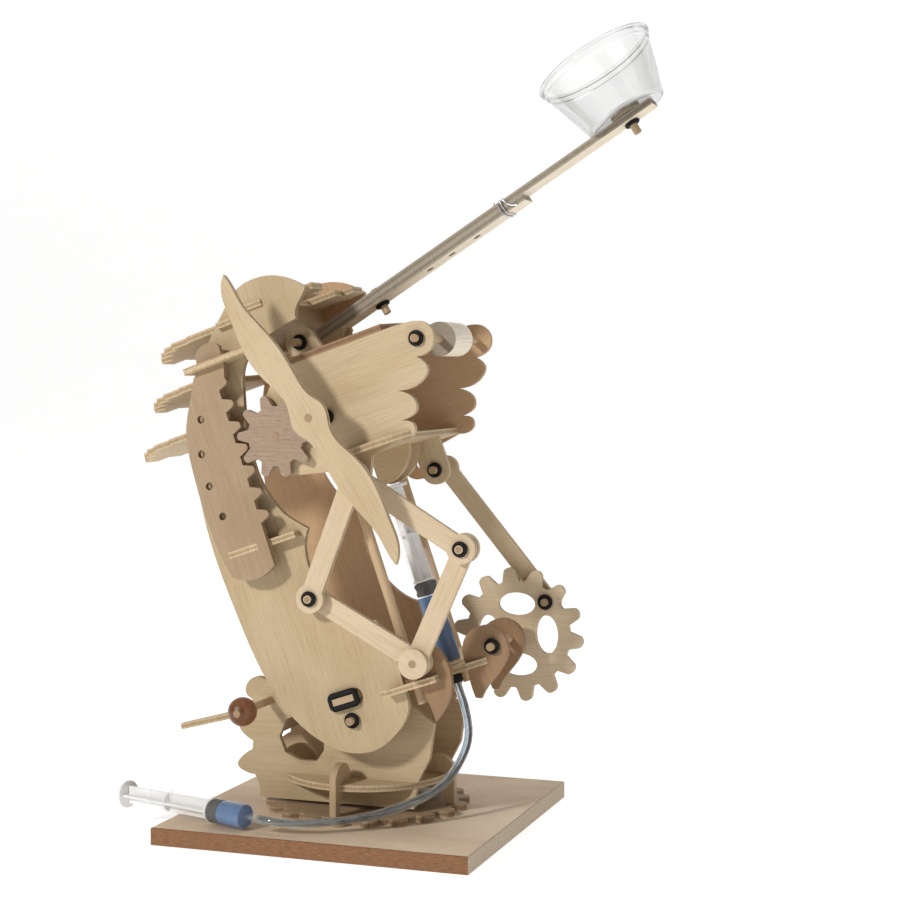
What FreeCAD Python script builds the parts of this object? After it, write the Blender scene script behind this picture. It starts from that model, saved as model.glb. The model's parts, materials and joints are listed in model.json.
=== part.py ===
import FreeCAD, Part
import math
import os

from FreeCAD import Placement, Rotation, Vector

# Hydraulic arm kit: a laser-cut plywood arm that leans back on a turning turret.
# Origin: centre of the underside of the square base board.  +Z is up, +X runs
# along the board towards the front gear, and -Y is the side that carries the rack.
#
# The arm, the sliding hand and everything on them are drawn in the arm's own
# frame: a runs up the slope of the cross plates, b runs along the leaning
# syringe, and y is the same as the object's Y.

doc = FreeCAD.newDocument("hydraulic_arm_kit")

# ---------------------------------------------------------------- dimensions
SIZES = {
    # stock
    "ply": 4.0,
    "dowel_dia": 4.8,
    "running_gap": 0.06,
    "ring_thick": 2.4,
    # base
    "board_side": 200.0,
    "board_thick": 10.5,
    "board_edge": 0.6,
    "guide_dia": 6.0,
    "post_dia": 6.3,
    "post_depth": 7.0,
    "post_top": 37.0,
    "base_gear_tip": 64.0,
    "base_gear_root": 57.0,
    "base_gear_thick": 4.0,
    # turret
    "disc_dia": 104.0,
    "disc_base": 29.5,
    "cheek_face": 31.0,
    "cheek_base": 17.0,
    # arm
    "lean": 19.0,
    "pivot_along": 10.0,
    "pivot_height": 73.0,
    "arm_face": 50.0,
    "rack_face": 62.0,
    # hand
    "wing_face": 56.0,
    "sword_face": 84.0,
    "pinion_pitch": 22.3,
    "roller_dia": 21.0,
    "roller_len": 32.0,
    # syringes
    "barrel_dia": 16.8,
    "barrel_wall": 1.1,
    "hose_dia": 5.2,
    # catapult
    "slat_width": 16.0,
    "slat_angle": 13.4,
    "cup_rim": 37.5,
    "cup_foot": 25.5,
    "cup_height": 40.0,
    "cup_wall": 1.0,
}
sheet = doc.addObject("Spreadsheet::Sheet", "sizes")
for row, (alias, value) in enumerate(SIZES.items(), start=1):
    sheet.set("A%d" % row, alias)
    sheet.set("B%d" % row, str(value))
    sheet.setAlias("B%d" % row, alias)
doc.recompute()


def size(alias):
    """The value of one cell of the sheet."""
    return float(sheet.get(alias))


PLY = size("ply")
DOWEL = size("dowel_dia") / 2
RUN = DOWEL + size("running_gap")
GUIDE = size("guide_dia") / 2
GUIDE_RUN = GUIDE + size("running_gap")
LOOSE_EYE = DOWEL + 1.9
ARM_FACE = size("arm_face")
WING_FACE = size("wing_face")
RACK_FACE = size("rack_face")
CHEEK_FACE = size("cheek_face")
SWORD_FACE = size("sword_face")
BARREL = size("barrel_dia") / 2
RING = size("ring_thick") / 2

# Points of the arm frame that several pieces share.
BASE_PIN = (53.0, 22.0)
ELBOW_LEFT = (1.7, 77.2)
ELBOW_RIGHT = (104.3, 77.2)
TOP_PIN = (53.0, 139.0)
PINION_AXIS = (13.2, 176.0)
SWORD_AXIS = (46.5, 177.0)
ROLLER_AXIS = (115.5, 202.5)
CATAPULT_AXIS = (35.5, 228.0)
ROD_PIN = (77.0, 130.0)
GEAR_AXIS = (90.5, 16.7)
CRANK_PIN = (114.5, 30.7)
SYRINGE_A = 52.0
ROD_A = 43.5
ROD_Y = 42.0

UPRIGHT = Placement()
ARM = Placement(Vector(size("pivot_along"), 0, size("pivot_height")),
                Rotation(Vector(0, 1, 0), -size("lean")))
nodes = []


# ------------------------------------------------------------------- helpers
def side(a, b):
    """A point of the a-b plane."""
    return Vector(a, 0, b)


def flat(a, y):
    """A point of the a-y plane."""
    return Vector(a, y, 0)


def outline(to_3d, start, *moves):
    """A closed wire: each move is a point, ("arc", through, end) or ("curve", points...)."""
    here = to_3d(*start)
    edges = []
    for move in moves + (start,):
        if move[0] == "arc":
            end = to_3d(*move[2])
            edges.append(Part.Arc(here, to_3d(*move[1]), end).toShape())
        elif move[0] == "curve":
            points = [here] + [to_3d(*p) for p in move[1:]]
            spline = Part.BSplineCurve()
            spline.interpolate(points)
            end = points[-1]
            edges.append(spline.toShape())
        else:
            end = to_3d(*move)
            if (end - here).Length < 1e-6:
                continue
            edges.append(Part.LineSegment(here, end).toShape())
        here = end
    return Part.Wire(edges)


def ring_wire(to_3d, centre, radius):
    """A round hole's wire."""
    normal = to_3d(1, 0).cross(to_3d(0, 1))
    return Part.Wire(Part.makeCircle(radius, to_3d(*centre), normal))


def oval_wire(to_3d, centre, long_half, short_half, angle):
    """An elliptical hole's wire; angle turns its long axis, in degrees."""
    turn = math.radians(angle)
    along = to_3d(math.cos(turn), math.sin(turn))
    across = to_3d(-math.sin(turn), math.cos(turn))
    middle = to_3d(*centre)
    ellipse = Part.Ellipse(middle + along * long_half, middle + across * short_half, middle)
    return Part.Wire(ellipse.toShape())


def box_wire(to_3d, low, high):
    """A rectangle's wire from two opposite corners."""
    return outline(to_3d, low, (high[0], low[1]), high, (low[0], high[1]))


def slot_wire(to_3d, centre, length, width):
    """A stadium's wire along the first axis."""
    half = length / 2 - width / 2
    a, b = centre
    r = width / 2
    return outline(to_3d, (a - half, b - r), (a + half, b - r),
                   ("arc", (a + half + r, b), (a + half, b + r)), (a - half, b + r),
                   ("arc", (a - half - r, b), (a - half, b - r)))


def link_wire(to_3d, first, last, head, half_width):
    """A link bar: two round heads joined by straight flanks narrower than the heads."""
    run = Vector(last[0] - first[0], last[1] - first[1], 0)
    along = run.normalize()
    across = Vector(-along.y, along.x, 0)
    reach = math.sqrt(head ** 2 - half_width ** 2)

    def at(point, forward, sideways):
        return (point[0] + along.x * forward + across.x * sideways,
                point[1] + along.y * forward + across.y * sideways)

    return outline(to_3d, at(first, reach, -half_width), at(last, -reach, -half_width),
                   ("arc", at(last, head, 0), at(last, -reach, half_width)),
                   at(first, reach, half_width),
                   ("arc", at(first, -head, 0), at(first, reach, -half_width)))


def gear_wire(to_3d, centre, count, root, tip, base_half, tip_half, phase):
    """A toothed wheel: straight flanks, rounded tips and arcs between the teeth."""
    def polar(radius, angle):
        return (centre[0] + radius * math.cos(angle), centre[1] + radius * math.sin(angle))

    step = 2 * math.pi / count
    shoulder = tip - tip_half * 0.45
    base_turn = base_half / root
    tip_turn = tip_half / shoulder
    start = polar(root, math.radians(phase) - base_turn)
    moves = []
    for tooth in range(count):
        turn = math.radians(phase) + tooth * step
        moves.append(polar(shoulder, turn - tip_turn))
        moves.append(("arc", polar(tip, turn), polar(shoulder, turn + tip_turn)))
        moves.append(polar(root, turn + base_turn))
        moves.append(("arc", polar(root, turn + step / 2), polar(root, turn + step - base_turn)))
    return outline(to_3d, start, *moves)


def keep(obj, label, frame):
    """Name a finished sub-part, place it and list it for export."""
    obj.Label = label
    obj.Placement = frame
    nodes.append(obj)
    return obj


def profile(label, wires):
    """A flat face with holes, kept in the document as the drawing of a plate."""
    face = Part.makeFace(wires, "Part::FaceMakerBullseye")
    drawing = doc.addObject("Part::Feature", label + "_outline")
    drawing.Shape = face
    return drawing


def pull(label, wires, direction, thickness="ply"):
    """Extrude an outline by a thickness from the sheet."""
    body = doc.addObject("Part::Extrusion", label + "_sheet")
    body.Base = profile(label, wires)
    body.DirMode = "Custom"
    body.Dir = direction
    body.Solid = True
    body.setExpression("LengthFwd", "sizes." + thickness)
    return body


def moved(frame, a=0.0, y=0.0, b=0.0):
    """A frame shifted along its own axes."""
    return frame.multiply(Placement(Vector(a, y, b), Rotation()))


def side_plate(label, wires, y_low, frame=ARM, thickness="ply"):
    """A plate that stands in the a-b plane, its near face at y_low."""
    return keep(pull(label, wires, Vector(0, 1, 0), thickness), label, moved(frame, y=y_low))


def level_plate(label, wires, b_low, frame=ARM, thickness="ply"):
    """A plate that lies across the arm, its underside at b_low."""
    return keep(pull(label, wires, Vector(0, 0, 1), thickness), label, moved(frame, b=b_low))


def rod(label, centre, low, high, radius="sizes.dowel_dia / 2", along="y"):
    """A dowel along y at (a, b), or along b at (a, y), as a Part::Cylinder."""
    cylinder = doc.addObject("Part::Cylinder", label)
    cylinder.setExpression("Radius", radius)
    cylinder.Height = high - low
    if along == "y":
        cylinder.Placement = Placement(Vector(centre[0], low, centre[1]),
                                       Rotation(Vector(1, 0, 0), -90))
    else:
        cylinder.Placement = Placement(Vector(centre[0], centre[1], low), Rotation())
    return cylinder


def rubber_ring(label, centre, y_middle, along="y"):
    """An O-ring round a dowel."""
    torus = doc.addObject("Part::Torus", label)
    torus.setExpression("Radius1", "(sizes.dowel_dia + sizes.ring_thick) / 2")
    torus.setExpression("Radius2", "sizes.ring_thick / 2")
    if along == "y":
        torus.Placement = Placement(Vector(centre[0], y_middle, centre[1]),
                                    Rotation(Vector(1, 0, 0), -90))
    else:
        torus.Placement = Placement(Vector(centre[0], centre[1], y_middle), Rotation())
    return torus


def group(label, pieces, frame):
    """Separate like pieces that share one node."""
    compound = doc.addObject("Part::Compound", label)
    compound.Links = pieces
    return keep(compound, label, frame)


def cut(label, base, tool):
    """Base minus tool."""
    result = doc.addObject("Part::Cut", label)
    result.Base = base
    result.Tool = tool
    return result


def feature(label, shape, frame):
    """A sub-part whose shape is made with Part's own functions."""
    piece = doc.addObject("Part::Feature", label)
    piece.Shape = shape
    return keep(piece, label, frame)


def turned(points, axis_direction=Vector(0, 0, 1)):
    """A solid of revolution about the local z axis from (radius, height) points."""
    corners = [Vector(r, 0, z) for r, z in points]
    wire = Part.makePolygon(corners + [corners[0]])
    return Part.Face(wire).revolve(Vector(0, 0, 0), axis_direction, 360)


# ---------------------------------------------------------------- base board
def base_board():
    """The MDF board: a padded square with eased top edges and the post's blind hole."""
    body = doc.addObject("PartDesign::Body", "board_body")
    sketch = body.newObject("Sketcher::SketchObject", "board_sketch")
    plane = [f for f in body.Origin.OriginFeatures if f.Role == "XY_Plane"][0]
    sketch.AttachmentSupport = [(plane, "")]
    sketch.MapMode = "FlatFace"
    half = size("board_side") / 2
    corners = [Vector(-half, -half, 0), Vector(half, -half, 0),
               Vector(half, half, 0), Vector(-half, half, 0)]
    for index in range(4):
        sketch.addGeometry(Part.LineSegment(corners[index], corners[(index + 1) % 4]), False)
    pad = body.newObject("PartDesign::Pad", "board_pad")
    pad.Profile = sketch
    pad.setExpression("Length", "sizes.board_thick")
    doc.recompute()
    top_edges = ["Edge%d" % (i + 1) for i, edge in enumerate(pad.Shape.Edges)
                 if edge.BoundBox.ZMin > size("board_thick") - 0.01]
    chamfer = body.newObject("PartDesign::Chamfer", "board_edges")
    chamfer.Base = (pad, top_edges)
    chamfer.setExpression("Size", "sizes.board_edge")
    doc.recompute()
    hole_sketch = body.newObject("Sketcher::SketchObject", "post_hole_sketch")
    hole_sketch.AttachmentSupport = [(plane, "")]
    hole_sketch.MapMode = "FlatFace"
    hole_sketch.AttachmentOffset = Placement(Vector(0, 0, size("board_thick")), Rotation())
    hole_sketch.addGeometry(Part.Circle(Vector(0, 0, 0), Vector(0, 0, 1),
                                        size("post_dia") / 2), False)
    pocket = body.newObject("PartDesign::Pocket", "post_hole")
    pocket.Profile = hole_sketch
    pocket.setExpression("Length", "sizes.post_depth")
    doc.recompute()
    keep(body, "board", UPRIGHT)


def base_gear():
    """The big toothed wheel glued flat on the board, under the turret."""
    wires = [gear_wire(flat, (0, 0), 20, size("base_gear_root"), size("base_gear_tip"),
                       6.0, 4.6, 4.0),
             ring_wire(flat, (0, 0), size("post_dia") / 2)]
    level_plate("base_gear", wires, size("board_thick"), UPRIGHT, "base_gear_thick")


def turret_post():
    """The dowel that the turret turns on."""
    foot = size("board_thick") - size("post_depth")
    post = rod("turret_post_dowel", (0, 0), foot, size("post_top"), "sizes.post_dia / 2", "b")
    keep(post, "turret_post", post.Placement)


# -------------------------------------------------------------------- turret
DISC_BASE = size("disc_base")
DISC_TOP = DISC_BASE + PLY
LEG_START = 34.0


def turret_disc():
    """The round deck, with half-lap slots for the cheeks and notches for the legs."""
    radius = size("disc_dia") / 2
    deck = rod("turret_deck", (0, 0), DISC_BASE, DISC_TOP, "sizes.disc_dia / 2", "b")
    slots = []
    for sign in (-1, 1):
        y_low = sign * (CHEEK_FACE - PLY / 2) - PLY / 2
        slot = doc.addObject("Part::Box", "cheek_slot")
        slot.Length = radius
        slot.setExpression("Width", "sizes.ply")
        slot.Height = PLY + 2
        slot.Placement = Placement(Vector(-radius - 1, y_low, DISC_BASE - 1), Rotation())
        slots.append(slot)
    for quarter in range(4):
        slot = doc.addObject("Part::Box", "leg_slot")
        slot.Length = radius
        slot.setExpression("Width", "sizes.ply")
        slot.Height = PLY + 2
        turn = Rotation(Vector(0, 0, 1), 90 * quarter)
        slot.Placement = Placement(turn.multVec(Vector(LEG_START, -PLY / 2, DISC_BASE - 1)), turn)
        slots.append(slot)
    slots.append(rod("post_bore", (0, 0), DISC_BASE - 1, DISC_TOP + 1,
                     "sizes.post_dia / 2 + sizes.running_gap", "b"))
    tool = doc.addObject("Part::MultiFuse", "deck_cutters")
    tool.Shapes = slots
    keep(cut("turret_disc_cut", deck, tool), "turret_disc", UPRIGHT)


def glide_legs():
    """Four round-topped gussets that carry the deck and glide on the base gear."""
    foot = size("board_thick") + size("base_gear_thick") + 0.5
    tall = 44.5
    outer = 58.0
    wires = [outline(side, (LEG_START, DISC_TOP), (LEG_START, DISC_TOP + 2),
                     ("arc", (45.0, tall + 1.0), (outer, tall - 7.0)),
                     (outer, foot), (outer - 6.0, foot),
                     ("arc", (outer - 10.0, DISC_BASE - 5.0), (LEG_START, DISC_BASE)))]
    legs = []
    for quarter in range(4):
        leg = pull("glide_leg", wires, Vector(0, 1, 0))
        turn = Rotation(Vector(0, 0, 1), 90 * quarter)
        leg.Placement = Placement(turn.multVec(Vector(0, -PLY / 2, 0)), turn)
        legs.append(leg)
    group("glide_legs", legs, UPRIGHT)


CRANK_AXIS = (-53.0, 78.0)


def cheeks():
    """Near and far turret sides; the front half of each is slotted over the deck."""
    base = size("cheek_base")
    window = [(-47, 56), (-43, 46), (-33, 42), (-22, 42), (-17, 49),
              (-17, 60), (-23, 68), (-33, 71), (-42, 67)]
    edge = outline(
        side, (-60, base), ("curve", (-61, 25), (-64, 31)),
        ("curve", (-70, 32), (-75.5, 36), (-71, 43), (-65.5, 46.5)), (-65, 52),
        ("curve", (-69.5, 54.5), (-75, 62), (-72, 70), (-65, 78)),
        ("curve", (-70, 84), (-67, 90), (-57, 91)), (-48, 92),
        (18, 92), (24, 84), (37, 82.5), (55, 70), (52, 48), (44.5, DISC_TOP), (-1, DISC_TOP),
        (-1, DISC_BASE), (44, DISC_BASE), (42, base))
    lean = math.radians(size("lean"))
    stop = (size("pivot_along") - STOP_RADIUS * math.sin(lean),
            size("pivot_height") + STOP_RADIUS * math.cos(lean))
    for label, y_low, crank_radius in (("near_cheek", -CHEEK_FACE, RUN),
                                       ("far_cheek", CHEEK_FACE - PLY, RUN)):
        wires = [edge, outline(side, *window),
                 ring_wire(side, (size("pivot_along"), size("pivot_height")), DOWEL),
                 ring_wire(side, CRANK_AXIS, crank_radius),
                 stop_wire(stop)]
        side_plate(label, wires, y_low, UPRIGHT)


STOP_RADIUS = 13.2
STOP_WIDTH = 15.0
STOP_SHIFT = -0.75


def stop_wire(centre):
    """The stop bar's section, square to the line from the arm's pivot."""
    lean = math.radians(size("lean"))
    along = (math.cos(lean), math.sin(lean))
    across = (-math.sin(lean), math.cos(lean))

    def at(forward, sideways):
        return (centre[0] + along[0] * forward + across[0] * sideways,
                centre[1] + along[1] * forward + across[1] * sideways)

    low = STOP_SHIFT - STOP_WIDTH / 2
    high = STOP_SHIFT + STOP_WIDTH / 2
    return outline(side, at(low, -PLY / 2), at(high, -PLY / 2), at(high, PLY / 2),
                   at(low, PLY / 2))


def turret_fittings():
    """The stop bar, the arm's pivot dowel with its rings, and the tail."""
    bar = doc.addObject("Part::Box", "stop_bar_box")
    bar.Length = STOP_WIDTH
    bar.Width = 2 * (ARM_FACE + 3.5)
    bar.setExpression("Height", "sizes.ply")
    bar.Placement = moved(ARM, STOP_SHIFT - STOP_WIDTH / 2, -(ARM_FACE + 3.5),
                          STOP_RADIUS - PLY / 2)
    pivot = rod("arm_pivot", (0, 0), -ARM_FACE - 6, ARM_FACE + 6)
    keep(pivot, "arm_pivot_dowel", ARM.multiply(pivot.Placement))
    ring_gap = 0.4 + RING
    group("turret_rings", [rubber_ring("pivot_ring", (0, 0), sign * (ARM_FACE + ring_gap))
                           for sign in (-1, 1)], ARM)
    tail_root = 6.0
    tail_tip = 2.6
    wires = [outline(flat, (-78, -tail_tip), (-20, -tail_root), (0, -tail_root),
                     (0, tail_root), (-20, tail_root), (-78, tail_tip))]
    slope = Placement(Vector(-54, 0, 69.5), Rotation(Vector(0, 1, 0), -15))
    level_plate("tail_lever", wires, 0, slope)
    beam = doc.addObject("Part::Box", "tail_beam_box")
    beam.setExpression("Length", "sizes.ply")
    beam.Width = 2 * (CHEEK_FACE - PLY)
    beam.Height = 14.0
    beam.Placement = Placement(Vector(-63, -(CHEEK_FACE - PLY), 52), Rotation())
    group("turret_bars", [bar, beam], UPRIGHT)


def crank():
    """The turning knob on the turret's back: a stained dowel with a round bead."""
    knob_y = -71.0
    dowel = rod("crank_rod", CRANK_AXIS, knob_y - 8.2, CHEEK_FACE + 4)
    keep(dowel, "crank_dowel", dowel.Placement)
    bead = doc.addObject("Part::Sphere", "crank_bead")
    bead.Radius = 8.8
    bead.Placement = Placement(Vector(CRANK_AXIS[0], knob_y, CRANK_AXIS[1]), Rotation())
    bore = rod("bead_bore", CRANK_AXIS, knob_y - 20, knob_y + 20)
    keep(cut("crank_ball_cut", bead, bore), "crank_ball", UPRIGHT)


# ----------------------------------------------------------------------- arm
SPINES = ((252.5, -71.0, -12.0), (224.5, -86.5, -34.0), (196.5, -103.5, -48.0))
TAB_TIP = ARM_FACE + 3.5
CREST_B = 255.0
CREST_TAB = (14.0, 26.0)
SHELF_B = 7.5
SHELF_ROOT = 22.0
GUIDE_LOW_B = 115.0
GUIDE_HIGH_B = 229.0


def arm_plates():
    """The two big hooked sides of the arm."""
    edge = outline(
        side, (38, 2), ("curve", (35, -6), (23, -16), (9, -21), (-11, -17), (-24, -7), (-38, 13),
                        (-49, 49), (-53, 85), (-55, 118), (-53, 156), (-47, 185), (-35, 215),
                        (-18, 243), (2, 262), (12, 269.5), (27, 272), (40, 269), (48, 264),
                        (56, 256)),
        ("curve", (50, 250), (46, 246), (44, 240)),
        ("curve", (35, 239), (22, 236), (2, 224), (-4, 208), (-8, 193), (-11, 170), (-10, 152),
         (-7, 142), (-2, 131), (4, 124), (10, 118)),
        ("curve", (5, 110), (3, 102), (3, 92), (9, 75), (15, 65), (23, 57), (34, 53)),
        (37, 46), (39, 25), (38.4, SHELF_B + PLY), (SHELF_ROOT, SHELF_B + PLY),
        (SHELF_ROOT, SHELF_B), (38.2, SHELF_B))
    for label, y_low in (("near_arm_plate", -ARM_FACE), ("far_arm_plate", ARM_FACE - PLY)):
        wires = [edge, ring_wire(side, (0, 0), RUN),
                 slot_wire(side, (0, STOP_RADIUS), 22.5, 10.5),
                 box_wire(side, (CREST_TAB[0], CREST_B), (CREST_TAB[1], CREST_B + PLY))]
        for b, tip, root in SPINES:
            wires.append(box_wire(side, (root + 6, b - PLY / 2), (root + 16, b + PLY / 2)))
        if label == "near_arm_plate":
            wires.append(box_wire(side, (-16, GUIDE_LOW_B), (4, GUIDE_LOW_B + PLY)))
            wires.append(box_wire(side, (-14, GUIDE_HIGH_B), (-2, GUIDE_HIGH_B + PLY)))
        side_plate(label, wires, y_low)


def spine_plates():
    """Three stepped cross plates that stick out of the back of the arm."""
    inner = ARM_FACE - PLY
    plates = []
    for b, tip, root in SPINES:
        steps = [(tip, 8.0), (tip + 9, 8.0), (tip + 9, 24.0), (tip + 18, 24.0),
                 (tip + 18, 36.0), (tip + 27, 36.0), (tip + 27, 43.0),
                 (tip + 40, 43.0), (tip + 40, inner), (root + 6, inner),
                 (root + 6, TAB_TIP), (root + 16, TAB_TIP), (root + 16, inner),
                 (root + 20, inner)]
        near = [(a, -y) for a, y in steps]
        bend = (root + 10, 0.0)
        wires = [outline(flat, steps[0], *(steps[1:] + [("arc", bend, near[-1])] + near[::-1][1:]))]
        plate = pull("spine_plate", wires, Vector(0, 0, 1))
        plate.Placement = Placement(Vector(0, 0, b - PLY / 2), Rotation())
        plates.append(plate)
    group("spine_plates", plates, ARM)


RACK_PITCH_A = PINION_AXIS[0] - size("pinion_pitch")
TOOTH_PITCH = 2 * math.pi * size("pinion_pitch") / 10


def rack():
    """The straight rack: seven teeth, a row of peg holes, and slots for its two guides."""
    tip = RACK_PITCH_A + 2.7
    root = RACK_PITCH_A - 3.9
    moves = []
    for tooth in range(-3, 4):
        middle = PINION_AXIS[1] + tooth * TOOTH_PITCH
        moves += [(root, middle - 4.3), (tip - 0.8, middle - 1.9),
                  ("arc", (tip, middle), (tip - 0.8, middle + 1.9)), (root, middle + 4.3)]
    edge = outline(
        side, (-13, 103), (-13, 127), *(moves[:-1] + [
            (-4.6, GUIDE_HIGH_B), (-4.4, 239.6),
            ("curve", (-8, 242.4), (-13, 243.5), (-18, 241.8), (-21.4, 238.4)),
            (-22.2, GUIDE_HIGH_B), (-27, 226),
            ("curve", (-33, 215), (-42, 198), (-46, 174), (-47, 150), (-46, 126), (-42, 104)),
            ("arc", (-28, 98.5), (-13, 103))]))
    wires = [edge] + [ring_wire(side, spot, DOWEL) for spot in
                      ((-30.5, 201), (-37, 181), (-38.5, 161), (-36, 141))]
    wires.append(box_wire(side, (-40, GUIDE_LOW_B), (-20, GUIDE_LOW_B + PLY)))
    side_plate("rack_plate", wires, -RACK_FACE)


def rack_guides():
    """Two cross plates that hold the rack off the arm's near side."""
    inner = -ARM_FACE + PLY
    back = -RACK_FACE + PLY
    low = [outline(flat, (-40, -RACK_FACE), (-20, -RACK_FACE), (-20, back), (4, back),
                   (4, inner), (-16, inner), (-16, -ARM_FACE), (-40, -ARM_FACE))]
    high = [outline(flat, (-30, -RACK_FACE - PLY), ("arc", (-4, -RACK_FACE - PLY - 0.8),
                                                     (22, -RACK_FACE - PLY)),
                    (22, -ARM_FACE), (-2, -ARM_FACE), (-2, inner), (-14, inner),
                    (-14, -ARM_FACE), (-30, -ARM_FACE)),
            box_wire(flat, (-22.5, -RACK_FACE), (-4.3, back))]
    plates = []
    for wires, b in ((low, GUIDE_LOW_B), (high, GUIDE_HIGH_B)):
        plate = pull("rack_guide", wires, Vector(0, 0, 1))
        plate.Placement = Placement(Vector(0, 0, b), Rotation())
        plates.append(plate)
    group("rack_guides", plates, ARM)


def head():
    """The stepped crest between the hooks, notched for the catapult, and its back wall."""
    inner = ARM_FACE - PLY
    notch = 13.0
    wall_a = 20.0
    tip = ARM_FACE + 1.5
    far_steps = [(CREST_TAB[1], tip), (CREST_TAB[1], inner), (46, inner), (46, 41),
                 (57, 41), (57, 25), (49, 25), (49, notch), (30, notch)]
    near_steps = [(a, -y) for a, y in far_steps[::-1]]
    edge = outline(flat, (CREST_TAB[0], inner), (CREST_TAB[0], tip), *(far_steps + near_steps + [
        (CREST_TAB[0], -tip), (CREST_TAB[0], -inner), ("arc", (9, 0), (CREST_TAB[0], inner))]))
    tab = box_wire(flat, (wall_a, -10), (wall_a + PLY, 10))
    level_plate("head_crest", [edge, tab], CREST_B)

    def across(y, b):
        return Vector(0, y, b)

    wall = [outline(across, (-inner, 226), (inner, 226), (inner, CREST_B), (10, CREST_B),
                    (10, CREST_B + PLY), (-10, CREST_B + PLY), (-10, CREST_B), (-inner, CREST_B))]
    keep(pull("head_wall", wall, Vector(1, 0, 0)), "head_wall", moved(ARM, a=wall_a))


def shelf():
    """The low cross plate that holds the syringe, the claw brackets and the guide rods."""
    inner = ARM_FACE - PLY
    near_tip = -ARM_FACE - 7
    root = SHELF_ROOT
    slot = 76.0
    wires = [outline(flat, (root, inner), (root, ARM_FACE), (52, ARM_FACE), (52, 36), (48, 36),
                     (48, 17), (86, 17), (88, 12), (slot, 12), (slot, 8), (88, 8), (88, -21),
                     (slot, -21), (slot, -25), (84.6, -25), (84.4, -25.6), (72, -29), (52, -29),
                     (52, -42), (66, -42), (66, -inner), (48, -inner), (48, -ARM_FACE),
                     (61.5, -ARM_FACE), (61.5, near_tip), (28, near_tip), (28, -ARM_FACE),
                     (root, -ARM_FACE), (root, -inner),
                     ("arc", (root + 4, 0), (root, inner))),
             ring_wire(flat, (SYRINGE_A, 0), 5.6),
             ring_wire(flat, (ROD_A, -ROD_Y), GUIDE_RUN), ring_wire(flat, (ROD_A, ROD_Y), GUIDE_RUN)]
    level_plate("shelf_plate", wires, SHELF_B)


def claw_brackets():
    """Three hooked brackets: one for the links' lower pin, two for the front gear's shaft."""
    top = SHELF_B + PLY
    pin = [outline(side, (51, -15), ("curve", (59, -9), (65, -2), (68.6, 7), (69.2, 14), (68, 20),
                                     (65, 27), (60, 32), (53, 33.5), (45, 30.5), (42, 22),
                                     (43, 15)), (44, top),
                   (48, top), (48, SHELF_B), (48.4, SHELF_B), ("curve", (50.4, -3), (51, -15))),
           ring_wire(side, BASE_PIN, DOWEL)]
    a, b = GEAR_AXIS
    head = [(-9.5, -21.3), (-2, -16.6), (4.2, -11.6), (8.6, -4.5), (9, 3), (5.4, 9.6),
            (-1.6, 13.4), (-9.6, 12.8), (-16, 8.8), (-19.2, 3), (-19.8, top - b)]
    shaft = [outline(side, (a - 20.4, b - 26.6), (a - 17, b - 28),
                     ("curve", *[(a + x, b + z) for x, z in head]),
                     (a - 14.4, top), (a - 14.4, SHELF_B), (a - 19.8, SHELF_B),
                     ("curve", (a - 20.6, b - 17), (a - 20.4, b - 26.6))),
             ring_wire(side, GEAR_AXIS, RUN)]
    pieces = []
    for wires, y_low in ((pin, -ARM_FACE), (shaft, -25.0), (shaft, 8.0)):
        piece = pull("claw_bracket", wires, Vector(0, 1, 0))
        piece.Placement = Placement(Vector(0, y_low, 0), Rotation())
        pieces.append(piece)
    group("claw_brackets", pieces, ARM)


LINK_LAYERS = {"left_lower_link": -54.5, "right_lower_link": -58.8,
               "left_upper_link": -60.8, "right_upper_link": -65.1}


def arm_pins():
    """The links' lower pin and its broad wooden washer."""
    low = LINK_LAYERS["right_lower_link"]
    pin = rod("base_pin", BASE_PIN, low - 4.6, -ARM_FACE + PLY + 3)
    washer = cut("base_washer", rod("base_washer_disc", BASE_PIN, low - 4.3, low - 0.3, "9"),
                 rod("base_washer_bore", BASE_PIN, low - 6, low + 2))
    group("arm_pins", [pin, washer], ARM)


# ------------------------------------------------------------------ syringes
BARREL_FOOT = 12.3
BARREL_LENGTH = 73.0
NOZZLE = 8.0
CONNECTOR_FOOT = -12.0


def barrel_shape():
    """A syringe barrel along +z: nozzle down at z < 0, shoulder at 0 and an oval flange on top."""
    wall = size("barrel_wall")
    profile_points = [(1.2, -NOZZLE), (2.4, -NOZZLE), (2.7, 0), (BARREL, 0.8),
                      (BARREL, BARREL_LENGTH), (BARREL - wall, BARREL_LENGTH),
                      (BARREL - wall, 2.0), (1.2, 1.6)]
    tube = turned(profile_points)
    oval = Part.Ellipse(Vector(0, 0, 0), 15.0, 10.0).toShape()
    flange = Part.Face(Part.Wire(oval)).extrude(Vector(0, 0, 1.8))
    bore = Part.makeCylinder(BARREL - wall, 1.8)
    flange = flange.cut(bore)
    flange.translate(Vector(0, 0, BARREL_LENGTH - 1.8))
    return tube.fuse(flange).removeSplitter()


def plunger_shape(piston_low, disc_top, disc_radius):
    """A plunger: black seal, ribbed stem and thumb disc, along +z."""
    bore = BARREL - size("barrel_wall") - size("running_gap")
    seal = turned([(0, piston_low), (bore - 0.5, piston_low + 0.6), (bore, piston_low + 1.4),
                   (bore, piston_low + 8.2), (bore - 0.8, piston_low + 9.0),
                   (0, piston_low + 9.0)])
    stem_low = piston_low + 9.0
    length = disc_top - 2.0 - stem_low
    rib = 2 * bore - 2.4
    stem = Part.makeBox(rib, 1.4, length, Vector(-rib / 2, -0.7, stem_low))
    stem = stem.fuse(Part.makeBox(1.4, rib, length, Vector(-0.7, -rib / 2, stem_low)))
    disc = Part.makeCylinder(disc_radius, 2.0, Vector(0, 0, disc_top - 2.0))
    return Part.makeCompound([seal, stem.fuse(disc).removeSplitter()])


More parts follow.
